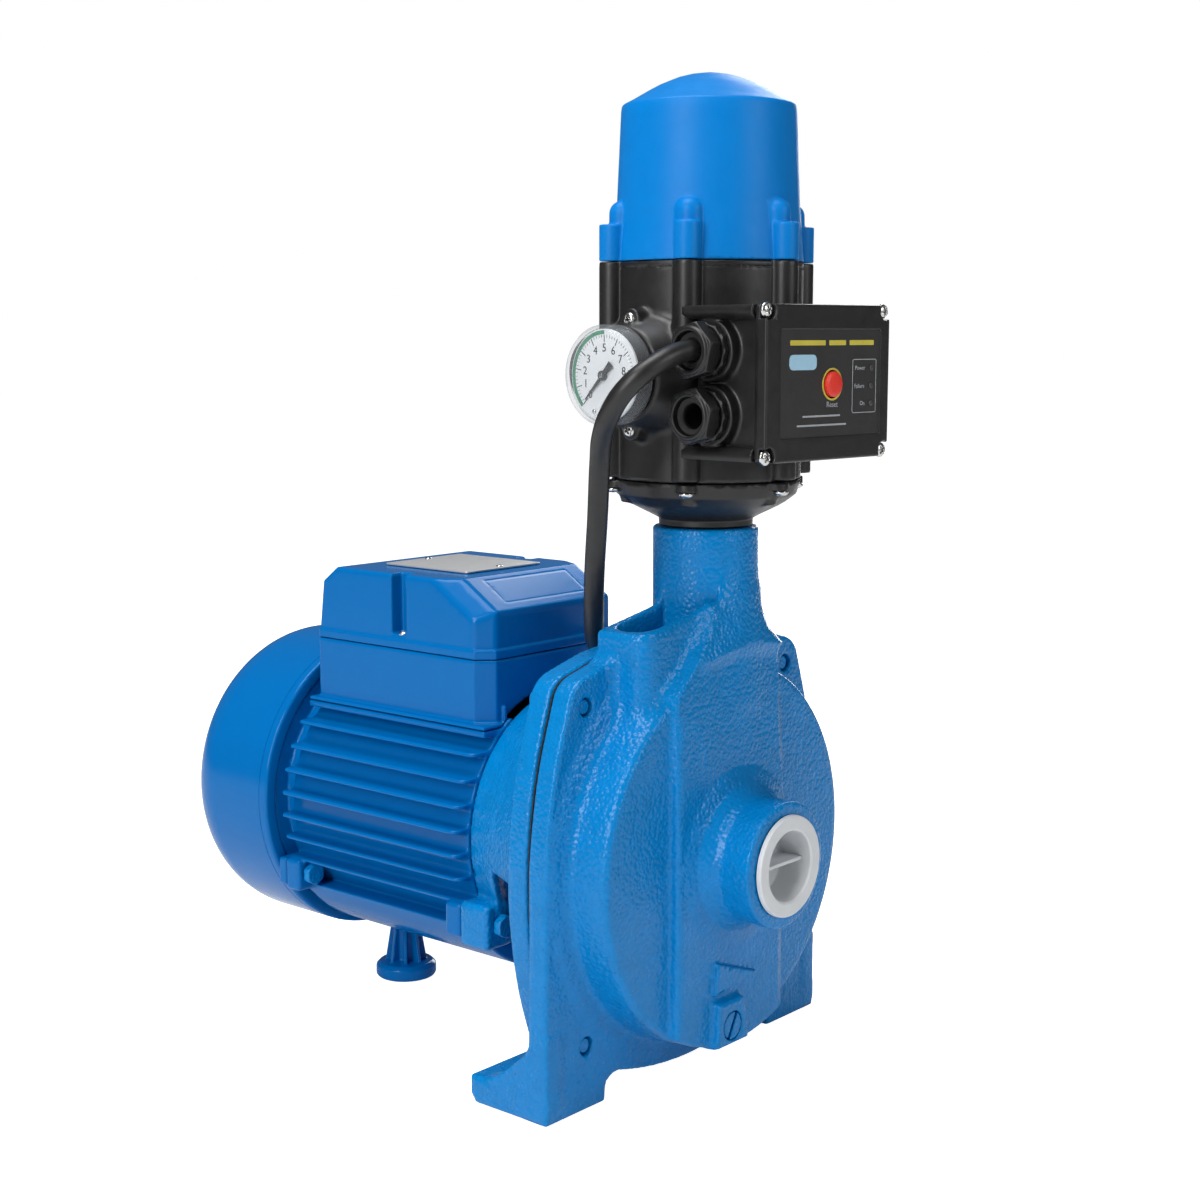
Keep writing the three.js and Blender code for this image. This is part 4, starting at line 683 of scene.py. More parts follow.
def casing():
    f = Field((-FOOT_OUTER, SUCTION_FACE_Y, 0), (FOOT_OUTER, SOLE_REAR_Y, PIPE_TOP), 0.9)
    arch = [(-FOOT_INNER, 0), (-57, 6)] + curve((-57, 6), (-55, 10.5), (-48, 10.2), 4)
    arch += curve((-48, 10.2), (0, -3.6), (48, 10.2), 12) + curve((48, 10.2), (55, 10.5), (57, 6), 4)
    house = [(FOOT_OUTER, 0)] + upper_outline() + [(-FOOT_OUTER, 0)] + arch + [(FOOT_INNER, 0)]
    f.add(f.slab("y", house, 0, 10, edge=1.6))
    for side in (-1, 1):
        low, high = sorted((side * FOOT_INNER, side * FOOT_OUTER))
        sole = [(0, 0), (39.5, 0), (SOLE_REAR_Y, 4), (SOLE_REAR_Y, 12), (33, 12.4), (0, 12)]
        f.add(f.slab("x", sole, low, high, edge=1.5), 2)
        gusset = [(0, 5), (34, 5), (31.5, 12.8), (22, 19), (9, 30.5), (0, 36)]
        web = (high - 9, high) if side > 0 else (low, low + 9)
        f.add(f.slab("x", gusset, *web, edge=1.5), 3)
    drum = [(0, 8), (91, 8), (90, 0, 2), (83.6, -3, 8), (81.8, -21, 3.6), (60, -21.2, 10), (0, -21.6)]
    f.add(f.turned("y", rounded(drum, steps=7), SHAFT), 5)

    slab = [(-42, 10), (33, 10), (33, 180)] + curve((33, 180), (32, 189), (PIPE_X + 15.5, 192), 5)
    slab += [(PIPE_X + 13.5, 198), (PIPE_X + 9, 207), (PIPE_X - PIPE_RADIUS, 208)]
    slab += curve((PIPE_X - PIPE_RADIUS, 208), (PIPE_X - 27.3, 192), (-42, 172), 6)
    raised = f.slab("y", slab, SLAB_FACE_Y, -4, edge=2.0)
    drum_end = f.bar("y", 82.2, -60, 20, SHAFT, edge=3)
    raised = soft_max(raised, soft_min(drum_end, f.box((-60, -60, 98), (60, 20, 230)), 2), 2.5)
    raised = soft_max(raised, f.plane((0, SLAB_FACE_Y, 178), (0, -31, 5)), 12)
    f.add(raised, 1.8)

    plan = [(PIPE_X, 9.5), (-50, 9.5)] + curve((-50, 9.5), (-53, 9.5), (-53, 6.5), 4)
    plan += [(-53, -9)] + curve((-53, -9), (-52.5, -16.8), (-44, -17), 6) + [(PIPE_X, -17)]
    shoulder = f.slab("z", plan, 150, 220)
    f.add(soft_max(shoulder, f.plane((-53, 0, 197.4), (-0.184, 0, 1)), 2.2), 6)

    f.add(f.bar("z", PIPE_RADIUS, 170, PIPE_TOP, PIPE, edge=0.8), 3)
    flare = [(0, 160), (24.3, 160), (24.3, 183), (37.3, 184), (34.3, 186), (29.8, 190), (26.8, 194)]
    flare += [(24.8, 198), (23.2, 203), (PIPE_RADIUS, 210), (20, 214), (0, 214)]
    root = f.turned("z", flare, PIPE)
    f.add(soft_max(root, f.box((-60, SLAB_FACE_Y, 150), (80, 10, 230)), 10), 6)

    boss = [(0, -16), (37.5, -16), (37, -26, 1), (31.5, -28.2, 4), (28.2, -32.5, 3)]
    boss += [(26.8, -36), (26.8, SUCTION_FACE_Y, 1.2), (0, SUCTION_FACE_Y)]
    f.add(f.turned("y", rounded(boss), SHAFT), 2.5)

    x, z = DRAIN
    pad = [(x - 11, 18), (x + 11, 18), (x + 10.5, 26), (x + 7.5, 37.5), (x - 10, 37.5)]
    f.add(f.slab("y", pad, DRAIN_PAD_Y, -15, edge=1.0), 2.5)
    # A raised triangle above the drain pad.
    f.add(f.slab("y", [(-19, 41), (12, 44.5), (-17, 55)], -28.2, -22, edge=0.7), 0.6)

    # The impeller's chamber, its eye, and the suction port.
    f.cut(f.bar("y", 76, -14, 15, SHAFT, edge=2))
    f.cut(f.bar("y", 20.8, -19, -12, SHAFT))
    f.cut(f.bar("y", PORT_BORE, -56, -18, SHAFT), 1)
    pocket = [(-12, 5.5), (-39, 5.5)] + curve((-39, 5.5), (-48.5, 5.5), (-48.5, -4), 7)
    pocket += curve((-48.5, -4), (-48.5, -13.5), (-39, -13.5), 7)
    pocket += [(-25, -13.5), (-17, -14.5), (-8, -18), (-4, -17)]
    f.cut(f.slab("z", pocket, POCKET_FLOOR, 225, edge=2), 1.6)
    f.add(f.bar("z", PIPE_RADIUS, 176, PIPE_TOP, PIPE, edge=0.8), 1)
    f.cut(f.bar("z", PORT_BORE, 212, PIPE_TOP + 6, PIPE), 1)
    f.cut(f.box((PIPE_X - 11, -11, 165), (PIPE_X + 11, 4, 213), edge=3))
    f.cut(f.bar("y", 6.3, -34, -12, DRAIN), 0.6)
    for side in (-1, 1):
        f.cut(f.bar("z", 5, -2, 15, (side * ANCHOR[0], ANCHOR[1])), 0.8)
    for at in BOLTS:
        f.cut(f.bar("y", 3.9, -5, 12, at), 1.2)
    # Soft joins swell a little, so the whole is held to its outer size.
    low = (HOLD - FOOT_OUTER, SUCTION_FACE_Y + HOLD, HOLD)
    f.keep(f.box(low, (FOOT_OUTER - HOLD, SOLE_REAR_Y, PIPE_TOP)), 0.8)
    return field_piece("casing_casting", f, "cast_blue", replaced=["pump_casing"])


def drain_plug():
    x, z = DRAIN
    f = Field((x - 6, DRAIN_PAD_Y - 0.2, z - 6), (x + 6, -15, z + 6), 0.25)
    f.add(f.bar("y", 5.95, DRAIN_PAD_Y + 0.4, -16, DRAIN, edge=0.6))
    lean = math.radians(28)
    x, z = f.axes["x"] - x, f.axes["z"] - z
    slot = np.abs(x * math.cos(lean) - z * math.sin(lean)) - 0.9
    depth = f.axes["y"] - (DRAIN_PAD_Y + 2.6)
    f.cut(np.maximum(slot, depth), 0.4)
    return field_piece("drain_screw", f, "cast_blue", replaced=["drain_plug"])


def transit_plug():
    face = SUCTION_FACE_Y - 0.3
    cup = [(0, -37.2), (13.9, -37.2, 1.5), (15.0, -51.8, 0.5), (15.9, -52.4), (21.4, -52.4, 0.7)]
    cup += [(21.6, face), (16.4, face), (16.3, -36, 1.5), (15.2, -34.6, 1), (0, -34.6)]
    body = lathe_mesh("transit_plug", rounded(cup), PUMP, "y", ON_SHAFT, 128)
    centred = PUMP @ Matrix.Translation(ON_SHAFT)
    grip = prism_mesh("grip", rectangle(-14.9, -0.8, 14.9, 0.8), -47.6, -36.8, centred, "y", bevel=0.25)
    pip = lathe_mesh("pip", [(0, -38.6), (4.2, -38.6), (4.6, -37), (0, -37)], PUMP, "y", ON_SHAFT, 48)
    whole = joined("transit_plug", [body, grip, pip])
    return piece_from("transit_plug", whole, "white_plastic", body="plug", replaced=["suction_port_plug"])


def gasket():
    def shrunk(share):
        return [(x * share, SHAFT[1] + (z - SHAFT[1]) * share) for x, z in four_ears()]

    f = Field((-94, 10, 11), (94, 11.6, 191), 0.5)
    f.add(f.slab("y", shrunk(0.995), 10.3, 11.0))
    f.cut(f.slab("y", shrunk(0.965 * 0.9), 9, 13))
    f.cut(f.box((-60, 5, 0), (60, 20, 12)))
    return field_piece("gasket_sheet", f, "rubber", replaced=["casing_gasket"])


# ---------------------------------------------------------------- motor bracket
LUG = (59.5, 64.5)
FRAME_RADIUS = 60.8
BRACKET_FRONT = 11.3


def bracket():
    f = Field((-94, BRACKET_FRONT, 5), (94, 77.5, 191), 0.95)
    flange = f.slab("y", four_ears(), BRACKET_FRONT, 22, edge=1.6)
    f.add(soft_max(flange, -f.box((-60, 0, 0), (60, 40, 12)), 1.5))
    f.cut(f.bar("y", 58, 17.3, 40, SHAFT, edge=2))
    outer = [(84, 20), (80, 29), (72.8, 43), (67.3, 54), (62.5, 66), (60.3, 75)]
    bell = outer + [(r - 5, y) for r, y in reversed(outer)]
    shell = f.turned("y", bell, SHAFT)
    for side in (-1, 1):
        window = [(14, 10), (14, 68), (40, 89), (88, 89), (88, 10)]
        opening = f.slab("y", [(side * x, z) for x, z in window], 24, 58, edge=3)
        shell = soft_max(shell, -opening, 1.5)
    f.add(shell, 5)
    f.add(f.bar("y", 22, BRACKET_FRONT, 28, SHAFT, edge=1), 3)
    f.add(f.bar("y", 60.5, 60, 65, SHAFT), 3)
    f.add(f.bar("y", 24, 60, 77.4, SHAFT, edge=0.8), 3)
    for side in (-1, 1):
        x, z = side * LUG[0], LUG[1]
        f.add(f.box((x - 8, 58, z - 10.5), (x + 8, 75, z + 9), edge=2), 3)
        f.cut(f.bar("y", 3.4, 50, 80, (x, z)))
        # A small rib stands behind each upper ear.
        f.add(f.box((side * 66 - 3, 20, 150), (side * 66 + 3, 30, 162), edge=1.5), 4)
    f.cut(f.bar("y", 17, 0, 24.3, SHAFT))
    f.cut(f.bar("y", 10, 20, 70, SHAFT))
    f.cut(f.bar("y", 17.8, 65.7, 80, SHAFT))
    for at in BOLTS:
        f.cut(f.bar("y", 3.5, 5, 30, at))
    return field_piece("bracket_casting", f, "cast_blue", replaced=["motor_bracket"])


def hex_screw(name, at, head, shank, flats):
    """A hexagon head with a chamfered face, and a shank along Y."""
    (y0, y1), (x, z) = head, at
    reach = flats / 2 + 2.5
    f = Field((x - reach, min(y0, shank[0]), z - reach), (x + reach, max(y1, shank[1]), z + reach), 0.3)
    body = f.hexagon("y", flats, y0, y1, at, edge=0.3)
    f.add(soft_max(body, f.bar("y", flats * 0.565, y0, y1, at, edge=1.1), 0.3))
    f.add(f.bar("y", 3.0, *shank, at, edge=0.4))
    return field_piece(f"{name}_screw", f, "cast_blue", replaced=[name])


def bolts():
    for i, at in enumerate(BOLTS):
        hex_screw(f"casing_bolt_{i + 1}", at, (22.3, 27), (1.5, 24), 10)
    for i, side in enumerate((-1, 1)):
        at = (side * LUG[0], LUG[1])
        hex_screw(f"front_frame_bolt_{i + 1}", at, (53.5, 57.7), (57, 84), 9.4)
        hex_screw(f"rear_frame_bolt_{i + 1}", at, (177.5, 181.7), (181, 196), 9.4)


# ---------------------------------------------------------------- motor
FIN_RADIUS = 69.3
MOTOR_FRONT, MOTOR_REAR = 75.5, 191.5
SHELF_Z = 145.3


def motor_frame():
    f = Field((-70, MOTOR_FRONT, 28), (70, MOTOR_REAR, 146), 0.7)
    f.add(f.bar("y", FRAME_RADIUS, MOTOR_FRONT, MOTOR_REAR, SHAFT, edge=0.8))
    x, y, z = f.axes["x"], f.axes["y"], f.axes["z"]
    for k in range(-3, 4):
        height = SHAFT[1] + 5.6 + k * 10.7
        reach = math.sqrt(FIN_RADIUS**2 - (abs(height - SHAFT[1]) + 1.3) ** 2)
        front = [(-reach, MOTOR_FRONT, 5), (reach, MOTOR_FRONT, 5)]
        rear = [(reach, MOTOR_REAR, 3), (-reach, MOTOR_REAR, 3)]
        plan = rounded(front + rear, closed=True)
        # Fins thin out towards their tips.
        thick = 0.95 + 0.45 * np.clip((reach - np.abs(x)) / 14, 0, 1)
        across = outline_distance(x, y, plan)
        f.add(capped(across, np.abs(z - height) - thick, 0.9), 2.2)
    belly = f.bar("y", FIN_RADIUS, MOTOR_FRONT, MOTOR_REAR, SHAFT, edge=1)
    f.add(soft_max(belly, f.plane((0, 0, 58.4), (0, 0, 1)), 1), 1.5)
    f.add(f.box((-50, MOTOR_FRONT + 0.5, SHELF_Z - 3), (50, MOTOR_REAR, SHELF_Z), edge=0.8), 2)
    for side in (-1, 1):
        cx = side * LUG[0]
        for low, high in ((MOTOR_FRONT, 85), (182, MOTOR_REAR)):
            f.add(f.box((cx - 7, low, LUG[1] - 8), (cx + 7, high, LUG[1] + 7), edge=1.6), 2)
        f.cut(f.bar("y", 3.4, 70, 200, (cx, LUG[1])), 0.4)
    f.cut(f.bar("y", 58.1, 70, 200, SHAFT))
    f.cut(f.bar("z", 9, 130, 200, (0, 92)))
    return field_piece("finned_frame", f, "motor_blue", replaced=["motor_frame"])


def rear_shield():
    f = Field((-67, 187, 31), (67, 204, 165), 0.8)
    profile = [(24, 187), (24, 193), (56, 193), (56, 191.8), (58.6, 191.8), (58.6, 198), (66.3, 198)]
    profile += [(66.3, 202), (60, 204), (24, 202), (22, 203), (8, 203), (8, 199.6)]
    profile += [(17.8, 199.6), (17.8, 187)]
    f.add(f.turned("y", profile, SHAFT))
    for side in (-1, 1):
        x, z = side * LUG[0], LUG[1]
        near, far = sorted((x - side * 18, x + side * 6.5))
        f.add(f.box((near, 191.8, z - 6.5), (far, 197.2, z + 6.5), edge=1), 1)
        f.cut(f.bar("y", 3.3, 180, 210, (x, z)))
    return field_piece("rear_shield_casting", f, "motor_blue", replaced=["rear_end_shield"])


COVER_RADIUS = 72.8
COVER_FRONT, COVER_REAR = 197.5, 260


def fan_cover():
    bulge = []
    for k in range(15):
        t = k / 14 * math.pi / 2
        bulge.append((COVER_RADIUS - 17.8 * (1 - math.cos(t)), 236 + 24 * math.sin(t)))
    groove = [(COVER_RADIUS, 202.0), (COVER_RADIUS - 0.45, 202.4), (COVER_RADIUS, 202.8)]
    rim = [(66.6, 201), (66.6, COVER_FRONT, 0.8), (COVER_RADIUS - 0.1, COVER_FRONT, 1.8)]
    rim = rounded(rim + [(COVER_RADIUS, 201)])
    inner = [(r - 2, y - 2) for r, y in reversed(bulge)]
    profile = rim + groove + bulge + [(0, COVER_REAR), (0, COVER_REAR - 2)] + inner
    profile += [(COVER_RADIUS - 2, 200.5), (67.6, 200.5)]
    mesh = lathe_mesh("fan_cup", profile, PUMP, "y", ON_SHAFT, 192)
    piece = piece_from("fan_cup", mesh, "motor_blue", replaced=["fan_cover"], sharp=28)
    slots = []
    for radius, count in ((24, 6), (40, 12)):
        outline = rectangle(radius - 6, -3.6, radius + 6, 3.6, 3)
        for i in range(count):
            turn = Matrix.Translation(ON_SHAFT) @ Matrix.Rotation(2 * math.pi * i / count, 4, "Y")
            slots.append(prism_mesh("slot", outline, COVER_REAR - 6, COVER_REAR + 4, PUMP @ turn, "y"))
    carve(piece, joined("slots", slots))


def motor_foot():
    at = (0, 180)
    f = Field((-15, 165, 0), (15, 195, 29), 0.45)
    pad = rounded([(0, 0), (14.0, 0, 0.8), (14.9, 1.2, 1), (14.9, 5.6, 1.5), (13, 7.4, 2), (0, 8.4)])
    f.add(f.turned("z", pad, at))
    stem = f.turned("z", [(0, 5), (10.2, 7.8), (7.2, 26), (7.2, 29), (0, 29)], at)
    f.add(soft_max(stem, f.bar("z", 5.2, 0, 30, at), 0.5), 1)
    u, v = f.axes["x"], f.axes["y"] - at[1]
    for k in range(4):
        angle = k * math.pi / 4
        web = np.abs(u * math.cos(angle) + v * math.sin(angle)) - 0.9
        f.add(soft_max(web, stem, 0.4), 0.8)
    f.cut(f.bar("y", FIN_RADIUS + 0.3, 150, 210, SHAFT))
    return field_piece("foot_moulding", f, "box_blue", replaced=["motor_foot"])


# ---------------------------------------------------------------- terminal box
BOX_HALF = 46
BOX_FRONT, BOX_REAR = 78.5, 190.5
BOX_BOTTOM, BOX_SEAM, BOX_TOP = 145.6, 175.3, 209.6
LID_BOTTOM = BOX_SEAM + 0.3


def box_plan(inset, corner):
    """The box from above, with its corners cut off, more at the front."""
    x = BOX_HALF - inset
    y0, y1 = BOX_FRONT + inset, BOX_REAR - inset
    right = [(x - corner, y0), (x, y0 + corner), (x, y1 - 3), (x - 3, y1)]
    left = [(-u, v) for u, v in reversed(right)]
    return left[-1:] + right + left[:-1]


def box_base():
    f = Field((-50, 76, BOX_BOTTOM), (50, 192, BOX_SEAM), 0.6)
    f.add(f.slab("z", box_plan(0, 7), BOX_BOTTOM, BOX_SEAM, edge=0.5))
    f.add(f.box((-50, 76.2, BOX_BOTTOM), (50, 191.2, BOX_BOTTOM + 1.8), edge=0.7), 1.5)
    for side in (-1, 1):
        f.add(f.box((side * 35 - 1, 76.8, BOX_BOTTOM), (side * 35 + 1, 80, BOX_BOTTOM + 9), edge=0.5), 0.8)
    f.cut(f.slab("z", box_plan(3, 6), BOX_BOTTOM + 2.5, BOX_SEAM + 2))
    f.cut(f.bar("y", FRAME_RADIUS + 0.3, 60, 200, SHAFT))
    f.cut(f.bar("x", 6.4, 30, 60, BOX_GLAND))
    return field_piece("box_tray", f, "box_blue", replaced=["terminal_box_base"])


def box_lid():
    side_x = BOX_HALF - 0.7
    face = BOX_FRONT + 1
    slope_z, slope_y = 196.6, 100
    f = Field((-BOX_HALF, BOX_FRONT, BOX_SEAM), (BOX_HALF, BOX_REAR, BOX_TOP), 0.55)

    rise, run = BOX_TOP - slope_z, slope_y - face
    length = math.hypot(rise, run)

    def lid_body(inset, side_soft, bevel_soft):
        high = BOX_TOP - inset
        profile = [(face + inset, LID_BOTTOM), (BOX_REAR - 1.5 - inset, LID_BOTTOM)]
        profile += [(BOX_REAR - 5 - inset, 202.6 - inset), (BOX_REAR - 14.5, high)]
        profile += [(slope_y, high), (face + inset, slope_z - inset)]
        body = outline_distance(f.axes["y"], f.axes["z"], profile)
        body = soft_max(body, np.abs(f.axes["x"]) - (side_x - inset), side_soft)
        for side in (-1, 1):
            foot = (side * (side_x - 7), face, slope_z)
            for normal in ((side, -1, 0), (side, -rise / length, run / length)):
                body = soft_max(body, f.plane(foot, normal) + inset, bevel_soft)
        return body

    f.add(lid_body(0, 2.2, 1.2))
    f.add(f.slab("z", box_plan(0, 7), LID_BOTTOM, 179.8, edge=0.5), 0.6)
    f.cut(lid_body(3, 0, 0))
    f.cut(f.slab("z", box_plan(4, 7), BOX_SEAM - 2, BOX_SEAM + 6))
    for side in (-1, 1):
        near, far = sorted((side * (side_x - 10), side * (side_x - 1)))
        f.add(f.box((near, 127, LID_BOTTOM), (far, 141.5, BOX_TOP - 1)))
        near, far = sorted((side * (side_x - 7), side * 60))
        f.cut(f.box((near, 130, 182), (far, 138.5, BOX_TOP + 3), edge=1), 1.0)
    # A fine panel line on the front slope.
    depth = f.plane((0, face, slope_z), (0, -rise, run))
    along = (f.axes["y"] - face) * run / length + (f.axes["z"] - slope_z) * rise / length
    line = np.abs(np.maximum(np.abs(f.axes["x"]) - 27, np.abs(along - 13) - 8))
    f.cut(np.maximum(line - 0.15, -depth - 0.2), 0.2)
    return field_piece("box_lid", f, "box_blue", replaced=["terminal_box_cover"])


def pan_screw(name, matrix, radius, height, recess=True, replaced=(), shank=None):
    """A domed head with a cross recess, its seat at z = 0 and its face towards +Z.

    shank is a (radius, length).
    """
    low = -shank[1] if shank else 0
    f = Field((-radius, -radius, low), (radius, radius, height), radius / 14)
    dome = rounded([(0, 0), (radius, 0, 0.15 * radius), (radius * 0.97, height * 0.45, height * 0.5)])
    dome += curve((radius * 0.9, height * 0.6), (radius * 0.6, height), (0, height), 8)
    f.add(f.turned("z", dome))
    if shank:
        f.add(f.bar("z", shank[0], low, 0.2 * height))
    if recess:
        u, v, w = f.axes["x"], f.axes["y"], f.axes["z"]
        taper = np.clip((height - w) / height, 0, 1)
        arm = radius * 0.62 * (1 - 0.35 * taper)
        thick = radius * 0.15 * (1 - 0.4 * taper)
        level = np.maximum(np.abs(u) - arm, np.abs(v) - thick)
        upright = np.maximum(np.abs(v) - arm, np.abs(u) - thick)
        f.cut(np.maximum(np.minimum(level, upright), height * 0.2 - w), 0.05 * radius)
    return field_piece(name, f, "steel", matrix, replaced=replaced)


def facing_matrix(base, spot, axis, spin=0.0):
    """A local frame at a point with +Z along a signed axis such as "-y"."""
    turns = {
        "-y": Matrix.Rotation(math.pi / 2, 4, "X"),
        "-x": Matrix.Rotation(-math.pi / 2, 4, "Y"),
        "+z": Matrix.Identity(4),
        "-z": Matrix.Rotation(math.pi, 4, "X"),
    }
    return base @ Matrix.Translation(spot) @ turns[axis] @ Matrix.Rotation(spin, 4, "Z")


def box_details():
    outline = rectangle(-25, 110, 25, 164, 1.8)
    plate = prism_mesh("foil_plate", outline, BOX_TOP + 0.3, BOX_TOP + 1.05, PUMP, "z", bevel=0.15)
    piece_from("foil_plate", plate, "plate", replaced=["rating_plate"])
    for i, y in enumerate((113.5, 160.5)):
        spot = (0, y, BOX_TOP + 0.95)
        pan_screw(f"plate_rivet_{i + 1}", facing_matrix(PUMP, spot, "+z"), 1.7, 0.9, recess=False)
    for i, side in enumerate((-1, 1)):
        spot = (side * (BOX_HALF - 3.4), 133.2, 181.6)
        pan_screw(f"lid_screw_{i + 1}", facing_matrix(PUMP, spot, "+z", 0.5), 2.6, 1.8)
    y, z = BOX_GLAND
    f = Field((41, y - 10, z - 10), (63.2, y + 10, z + 10), 0.35)
    f.add(f.bar("x", 6, 41.5, 48, BOX_GLAND))
    f.add(f.hexagon("x", 17, BOX_HALF + 0.3, 52, BOX_GLAND, edge=0.6))
    f.add(f.bar("x", 7.6, 51, 54, BOX_GLAND), 0.5)
    f.add(f.hexagon("x", 16, 53.2, 59.5, BOX_GLAND, edge=0.8, turn=0.3), 0.3)
    f.add(f.bar("x", 7.6, 58, 63, BOX_GLAND, edge=1, end_radius=6.2), 0.8)
    f.cut(f.bar("x", CABLE_DIAMETER / 2 + 0.25, 30, 70, BOX_GLAND), 0.8)
    return field_piece("box_gland", f, "black_plastic", replaced=["box_cable_gland"])


# ---------------------------------------------------------------- control unit
BODY_RADIUS = 40
FLANGE_TOP = 20.2
BODY_BOTTOM, BODY_TOP = 20.5, 110
CAP_BOTTOM = 110.3
HOUSING_FRONT = -59.7
BOSS_CIRCLE, BOSS_RADIUS = 41.5, 5.5
BOSSES = (0, 60, 120, 180, 240, 300)
PANEL_FRONT = -66
PANEL = (-40.6, 30.7, 38.6, 92.2)  # left, bottom, right, top
SCREW_INSET = 2.4
LABEL = (-31.4, 40.2, 32.4, 82.4)
LABEL_FACE = PANEL_FRONT + 0.45
LAMP_FRAME = (14.2, 48.9, 30.1, 70.6)
LAMP_HEIGHTS = (67.0, 59.7, 52.7)
INK = 0.06  # half the thickness of printed ink
BUTTON = (1.2, 60.8)
GAUGE_SCREWS = (22.2, -22.2)  # above and below the gauge's middle
GAUGE_AT = (0, GAUGE_HEIGHT)


def around(radius, degrees):
    angle = math.radians(degrees - 90)
    return (radius * math.cos(angle), radius * math.sin(angle))


def inlet_flange():
    f = Field((-44, -44, -18), (44, 44, BODY_BOTTOM), 0.55)
    bowl = [(0, -18), (15.4, -18), (16.4, -17), (16.4, 0.3), (20, 0.3, 0.6), (20, 3.4, 1.0)]
    bowl += [(33, 9.9, 3), (38.3, 13.9, 2), (40.3, FLANGE_TOP), (0, FLANGE_TOP)]
    f.add(f.turned("z", rounded(bowl)))
    for angle in BOSSES:
        f.add(f.bar("z", 4.4, 16.9, FLANGE_TOP, around(BOSS_CIRCLE - 2.3, angle), edge=0.4), 1.2)
        f.add(f.bar("z", 2.6, 10.6, 16, around(BOSS_CIRCLE - 6.5, angle), edge=0.8), 2)
    f.cut(f.bar("z", 10.5, -20, 8))
    f.cut(f.turned("z", [(0, 7.5), (15, 7.5), (31, 12), (35.5, 22), (0, 22)]))
    field_piece("inlet_bowl", f, "black_plastic", CONTROL, replaced=["control_inlet_flange"])
    for i, angle in enumerate(BOSSES):
        x, y = around(BOSS_CIRCLE - 0.6, angle)
        pan_screw(f"flange_screw_{i + 1}", facing_matrix(CONTROL, (x, y, 16.8), "-z"), 3.1, 2.2)


def control_body():
    f = Field((-52, -46, BODY_BOTTOM), (47, 67, BODY_TOP), 0.6)
    f.add(f.bar("z", BODY_RADIUS, BODY_BOTTOM, BODY_TOP, edge=0.5))
    # A fine groove runs round the barrel under its top rim.
    f.cut(np.maximum(-f.bar("z", BODY_RADIUS - 0.5, 0, 200), np.abs(f.axes["z"] - 107.6) - 0.25))
    for angle in BOSSES:
        f.add(f.bar("z", BOSS_RADIUS, BODY_BOTTOM + 1, BODY_TOP, around(BOSS_CIRCLE, angle), edge=0.5), 1.6)
    f.add(f.bar("x", 19.4, -51.5, -32, GAUGE_AT, edge=1.2, end_radius=28), 2.5)
    for dz in GAUGE_SCREWS:
        f.add(f.bar("x", 4.6, -47, -34, (0, GAUGE_HEIGHT + dz), edge=0.8), 2.5)
    nozzle = [(0, 30), (24, 30), (21, 44), (19.5, 50), (16.4, 50), (16.4, 66.2), (15.6, 67), (0, 67)]
    f.add(f.turned("y", nozzle, GAUGE_AT), 3)
    grooves = np.maximum(np.abs(((f.axes["y"] - 50) % 2.3) - 1.15) - 0.45, 51 - f.axes["y"])
    f.cut(np.maximum(-f.bar("y", 15.6, 40, 70, GAUGE_AT), grooves), 0.3)
    f.cut(f.bar("z", 36, BODY_BOTTOM - 2, BODY_TOP - 3))
    f.cut(f.bar("z", 38.3, BODY_TOP - 3.1, BODY_TOP + 3))
    f.cut(f.bar("y", 12.5, 30, 80, GAUGE_AT), 0.6)
    f.cut(f.bar("x", 5.5, -60, -30, GAUGE_AT))
    guide = np.minimum(f.box((-37, -4, 33), (37, 4, 37)), f.bar("z", 8, 33, 41))
    f.add(np.maximum(np.maximum(guide, -f.bar("z", 3.4, 20, 50)), f.bar("z", 38, 20, 60)))
    field_piece("control_barrel", f, "black_plastic", CONTROL, replaced=["control_body"])
    for i, dz in enumerate(GAUGE_SCREWS):
        where = facing_matrix(CONTROL, (-46.9, 0, GAUGE_HEIGHT + dz), "-x", 0.4)
        pan_screw(f"gauge_screw_{i + 1}", where, 2.9, 2.0)


def control_cap():
    f = Field((-47, -47, BODY_TOP), (47, 47, 187.6), 0.6)
    shell = [(0, CAP_BOTTOM), (40, CAP_BOTTOM), (38.1, 133.9, 8), (36.5, 171, 6), (36.1, 174.0, 1.6)]
    shell += [(31.4, 176.4, 3), (27, 179), (20, 182.8), (12, 185.8), (6, 187.1), (0, 187.6)]
    f.add(f.turned("z", rounded(shell)))
    for angle in BOSSES:
        f.add(f.bar("z", BOSS_RADIUS, CAP_BOTTOM, 125.2, around(BOSS_CIRCLE, angle), edge=0.5), 0.9)
        # An arched fairing leads each boss into the wall.
        f.add(f.bar("z", 5.6, 112, 135, around(BOSS_CIRCLE - 4.4, angle), edge=5.4), 1.2)
    f.cut(f.turned("z", [(0, 109), (36.6, 109), (34.5, 134), (33, 170), (0, 170)]))
    field_piece("cap_moulding", f, "cap_blue", CONTROL, replaced=["control_cap"])


def corner_screws():
    left, bottom, right, top = PANEL
    heights = (top - SCREW_INSET, bottom + SCREW_INSET)
    return [(x, z) for x in (left + SCREW_INSET, right - SCREW_INSET) for z in heights]


